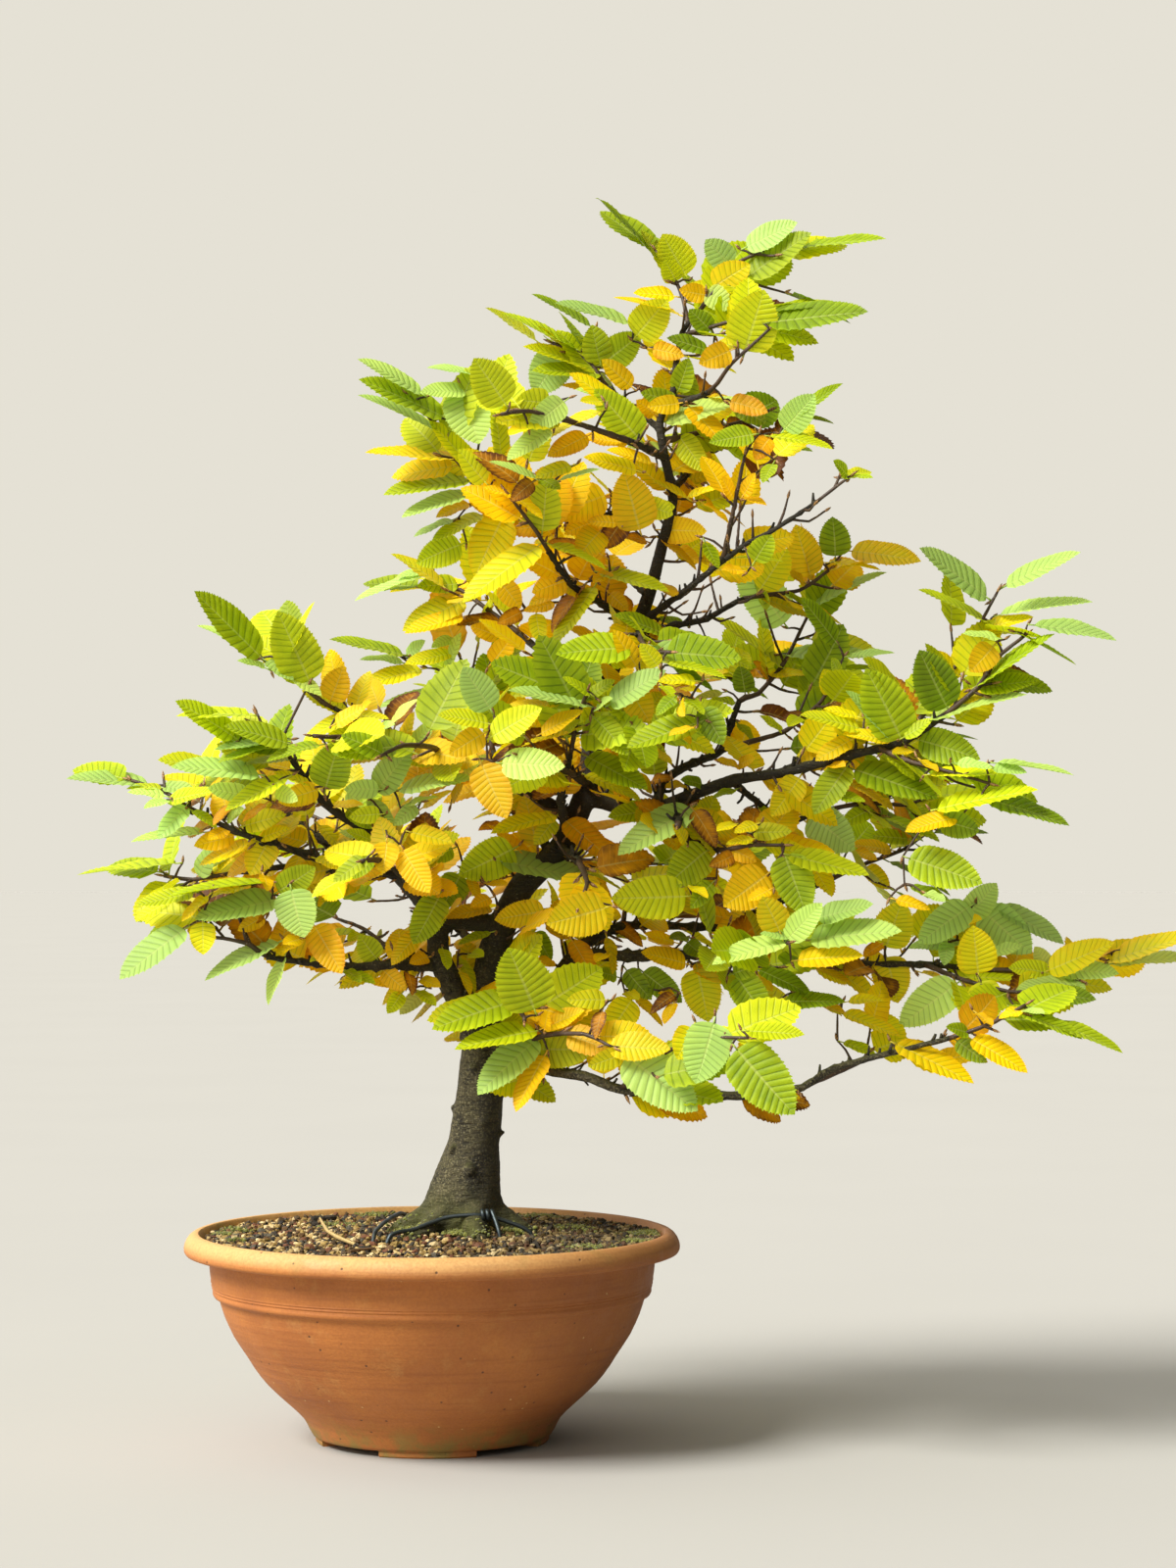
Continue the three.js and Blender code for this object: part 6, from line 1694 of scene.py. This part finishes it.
class BONSAI_OT_wood(bpy.types.Operator):
    """Grows the roots, trunk and limbs as one piece, and the thinner old branches on them"""

    bl_idname = "bonsai.wood"
    bl_label = "Wood"
    bl_options = {"REGISTER", "UNDO"}

    def execute(self, context):
        s = context.scene.bonsai_wood
        stout, slim = [], []
        for number, (name, path, radii, last) in enumerate(woods()):
            line, sizes = fine_line(path, radii, 0, last)
            if name == "leader":
                stout.append(tube(line[sizes > 4.2], sizes[sizes > 4.2], 28))
                stout += trunk_knots(np.column_stack([line, sizes]))
                slim.append(tube(line[sizes < 5.2], sizes[sizes < 5.2], 12, rough=0.12, seed=3))
                continue
            sizes = collared(sizes, line)
            thin = np.ones(len(sizes), bool)
            if radii[0] > 3.9:
                stout.append(tube(line[sizes > 2.6], sizes[sizes > 2.6], 14))
                thin = sizes < 3.1
            if thin.sum() > 2:
                slim.append(tube(line[thin], knotted(sizes[thin], number), 10, rough=0.3, seed=number))
            if not name.startswith("root"):
                stubs = spurs(line, sizes, number)
                slim += [tube(points, thick, 5, rough=0.3, seed=number) for points, thick in stubs]
        rough = placed("rough_trunk", mesh_of("rough_trunk", stout))
        joined = rough.modifiers.new("join", "REMESH")
        joined.mode, joined.voxel_size = "VOXEL", s.voxel
        eased = rough.modifiers.new("ease", "SMOOTH")
        eased.factor, eased.iterations = 0.5, 6
        mesh = evaluated(rough)
        bpy.data.objects.remove(rough)
        points = np.zeros(len(mesh.vertices) * 3)
        mesh.vertices.foreach_get("co", points)
        points = points.reshape(-1, 3) / MM
        normals = np.zeros(len(points) * 3)
        mesh.vertex_normals.foreach_get("vector", normals)
        # Broad swellings, level rings and upright flutes: height, and scale across and along the trunk.
        waves = ((0.9, 0.05, 0.05), (0.6, 0.12, 0.42), (0.7, 0.16, 0.06))
        swell = np.array([
            sum(high * noise(Vector((x * across, y * across, z * along))) for high, across, along in waves)
            for x, y, z in points
        ])
        # The trunk is more uneven than the wood in the crown.
        size = np.clip((210 - points[:, 2]) / 80, 0.35, 1.6)
        points = points + normals.reshape(-1, 3) * (swell * size)[:, None]
        mesh.vertices.foreach_set("co", (points * MM).ravel())
        mesh.polygons.foreach_set("use_smooth", np.ones(len(mesh.polygons), bool))
        mesh.update()
        bark = smooth_bark(s)
        show("trunk_and_limbs", mesh, [bark], "bark", "trunk")
        show("old_branches", mesh_of("old_branches", slim), [bark], "bark", "trunk")
        return {"FINISHED"}


class BONSAI_OT_foliage(bpy.types.Operator):
    """Dresses every young branch end with its twig, shoots, buds and leaves"""

    bl_idname = "bonsai.foliage"
    bl_label = "Foliage"
    bl_options = {"REGISTER", "UNDO"}

    def execute(self, context):
        settings = context.scene.bonsai_leaf
        finishes = [leaf_blade(settings), twig_bark(context.scene.bonsai_wood), bud_scales()]
        foliage = Foliage(settings)
        foliage.limbs = limb_points()
        front = FrontLeaves(foliage)
        sprays = [Spray(i, row) for i, row in enumerate(BRANCHES) if row[5]]
        old = [wood for wood in woods() if not wood[0].startswith("root")]
        dressed = {owner: [] for owner in [spray.name for spray in sprays] + list(INNER)}
        packed, twigs = [], []
        for spray in sprays:
            line, radii = fine_line(spray.whole, spray.radii, spray.first, None, 3.5)
            twigs.append((spray.name, line, radii, spray.index))
            shoots = spray.packed_shoots()
            for shoot in shoots:
                fine, sizes = fine_line(shoot, [0.95, 0.7], step=4)
                twigs.append((spray.name, fine, sizes, spray.index + 90))
            packed.append(spray.packed_leaves(shoots))
        for owner, line, _, _ in twigs:
            front.carry(line, owner)
        for _, path, radii, last in old:
            line, _ = fine_line(path, radii, 0, last, 6)
            for point in line[line[:, 2] > 235]:
                front.carry(point[None], region_of(point))
        for owner, parts in front.grow():
            dressed[owner] += parts
        # Then the leaves behind them, which fill the crown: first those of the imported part.
        for spray, leaves in zip(sprays, packed):
            for base, axis, face, length in leaves:
                clear = foliage.gap_to(base, axis, length) > ROOM["packed"]
                if clear and foliage.is_behind(base, axis, face, length, 5):
                    turned = front.tone_at(base + axis * 25) + foliage.random.normal(0, 0.05)
                    dressed[spray.name] += foliage.leaf(base, axis, face, length, turned, 1.6)
                    dressed[spray.name].append(foliage.bud(base, unit(axis + np.array([0, 0, 0.8])), 4.5))
                    foliage.starts.append(base)
        for spray in sprays:
            growth = LEAF_GROWTH[spray.hue] * 0.95
            total = sums_of(spray.path)[-1]
            for number in range(4):
                _, point, tangent = along(spray.path, total * (0.1 + 0.22 * number))
                draw = seeded(spray.index * 97 + number * 13 + 7)
                axis, _ = setting_off(point, tangent, 1 if number % 2 else -1, 0.85, draw)
                length, seed = mix(16, 34, draw()), spray.index * 31 + number * 7 + 3
                dressed[spray.name] += leafy_shoot(
                    foliage, point, axis, length, 3, TURNED[spray.hue], seed, growth
                )
        for number, (name, path, _, last) in enumerate(old):
            path = path[: last + 1]
            for k, s in enumerate(np.arange(150 if name == "leader" else 12, sums_of(path)[-1], 13)):
                _, point, tangent = along(path, s)
                draw = seeded(number * 211 + k * 17 + 9)
                axis, _ = setting_off(point, tangent, 1 if k % 2 else -1, 1.1, draw)
                length, seed = mix(9, 26, draw()), number * 53 + k
                dressed[region_of(point)] += leafy_shoot(
                    foliage, point, axis, length, 3, TURNED["inner"], seed, 0.78
                )
        for owner, line, radii, seed in twigs:
            line, radii = foliage.leafy_part(line, radii)
            dressed[owner] += foliage.budded_twig(line, radii, seed, 6.5)
        # Last the bare twigs on the old wood, in the gaps between the leaves.
        random = np.random.default_rng(83)
        for number, (_, path, radii, last) in enumerate(old):
            line, _ = fine_line(path, radii, 0, last)
            for i in range(3, len(line) - 1, 3):
                if line[i, 2] > 255:
                    tangent = unit(line[i + 1] - line[i - 1])
                    dressed[region_of(line[i])] += foliage.bare_twig(line[i], tangent, random, number + i)
        for spray in sprays:
            name = "foliage_" + spray.name
            mesh = mesh_of(name, dressed[spray.name])
            show(name, mesh, finishes, "leaf_" + spray.hue, "spray_" + spray.name)
        for region in INNER:
            name = "inner_leaves_" + region
            show(name, mesh_of(name, dressed[region]), finishes, "leaf_gold")
        return {"FINISHED"}


def limb_points():
    """Points and radii of the old wood and of its spurs, which leaves keep clear of."""
    found = []
    for number, (name, path, radii, last) in enumerate(woods()):
        line, sizes = fine_line(path, radii, 0, last)
        found.append(np.column_stack([line, sizes]))
        if name != "leader" and not name.startswith("root"):
            for points, _ in spurs(line, collared(sizes, line), number):
                found.append(np.column_stack([points, np.ones(3)]))
    return np.concatenate(found)


def region_of(point):
    """Which piece of inner leaves a place in the crown belongs to."""
    return "top" if point[2] > REGIONS["top"] else "left" if point[0] < REGIONS["middle"] else "right"


STEPS = (
    BONSAI_OT_stage, BONSAI_OT_pot, BONSAI_OT_screen, BONSAI_OT_soil, BONSAI_OT_wires, BONSAI_OT_wood,
    BONSAI_OT_foliage,
)
SETTINGS = {
    "bonsai_pot": PotSettings, "bonsai_soil": SoilSettings, "bonsai_wood": WoodSettings,
    "bonsai_leaf": LeafSettings, "bonsai_wire": WireSettings, "bonsai_stage": StageSettings,
}


class BONSAI_PT_panel(bpy.types.Panel):
    """Lists the settings and the steps that build the tree"""

    bl_idname = "BONSAI_PT_panel"
    bl_label = "Hornbeam Bonsai"
    bl_space_type = "VIEW_3D"
    bl_region_type = "UI"
    bl_category = "Bonsai"

    def draw(self, context):
        for name, group in SETTINGS.items():
            box = self.layout.box()
            for prop in group.__annotations__:
                box.prop(getattr(context.scene, name), prop)
        for step in STEPS:
            self.layout.operator(step.bl_idname)


CLASSES = (*SETTINGS.values(), *STEPS, BONSAI_PT_panel)


def register():
    for cls in CLASSES:
        bpy.utils.register_class(cls)
    for name, group in SETTINGS.items():
        setattr(bpy.types.Scene, name, bpy.props.PointerProperty(type=group))


def unregister():
    for name in SETTINGS:
        delattr(bpy.types.Scene, name)
    for cls in reversed(CLASSES):
        bpy.utils.unregister_class(cls)


def main():
    register()
    bpy.ops.bonsai.stage()
    bpy.ops.bonsai.pot()
    bpy.ops.bonsai.screen()
    bpy.ops.bonsai.soil()
    bpy.ops.bonsai.wires()
    bpy.ops.bonsai.wood()
    bpy.ops.bonsai.foliage()


if __name__ == "__main__":
    main()
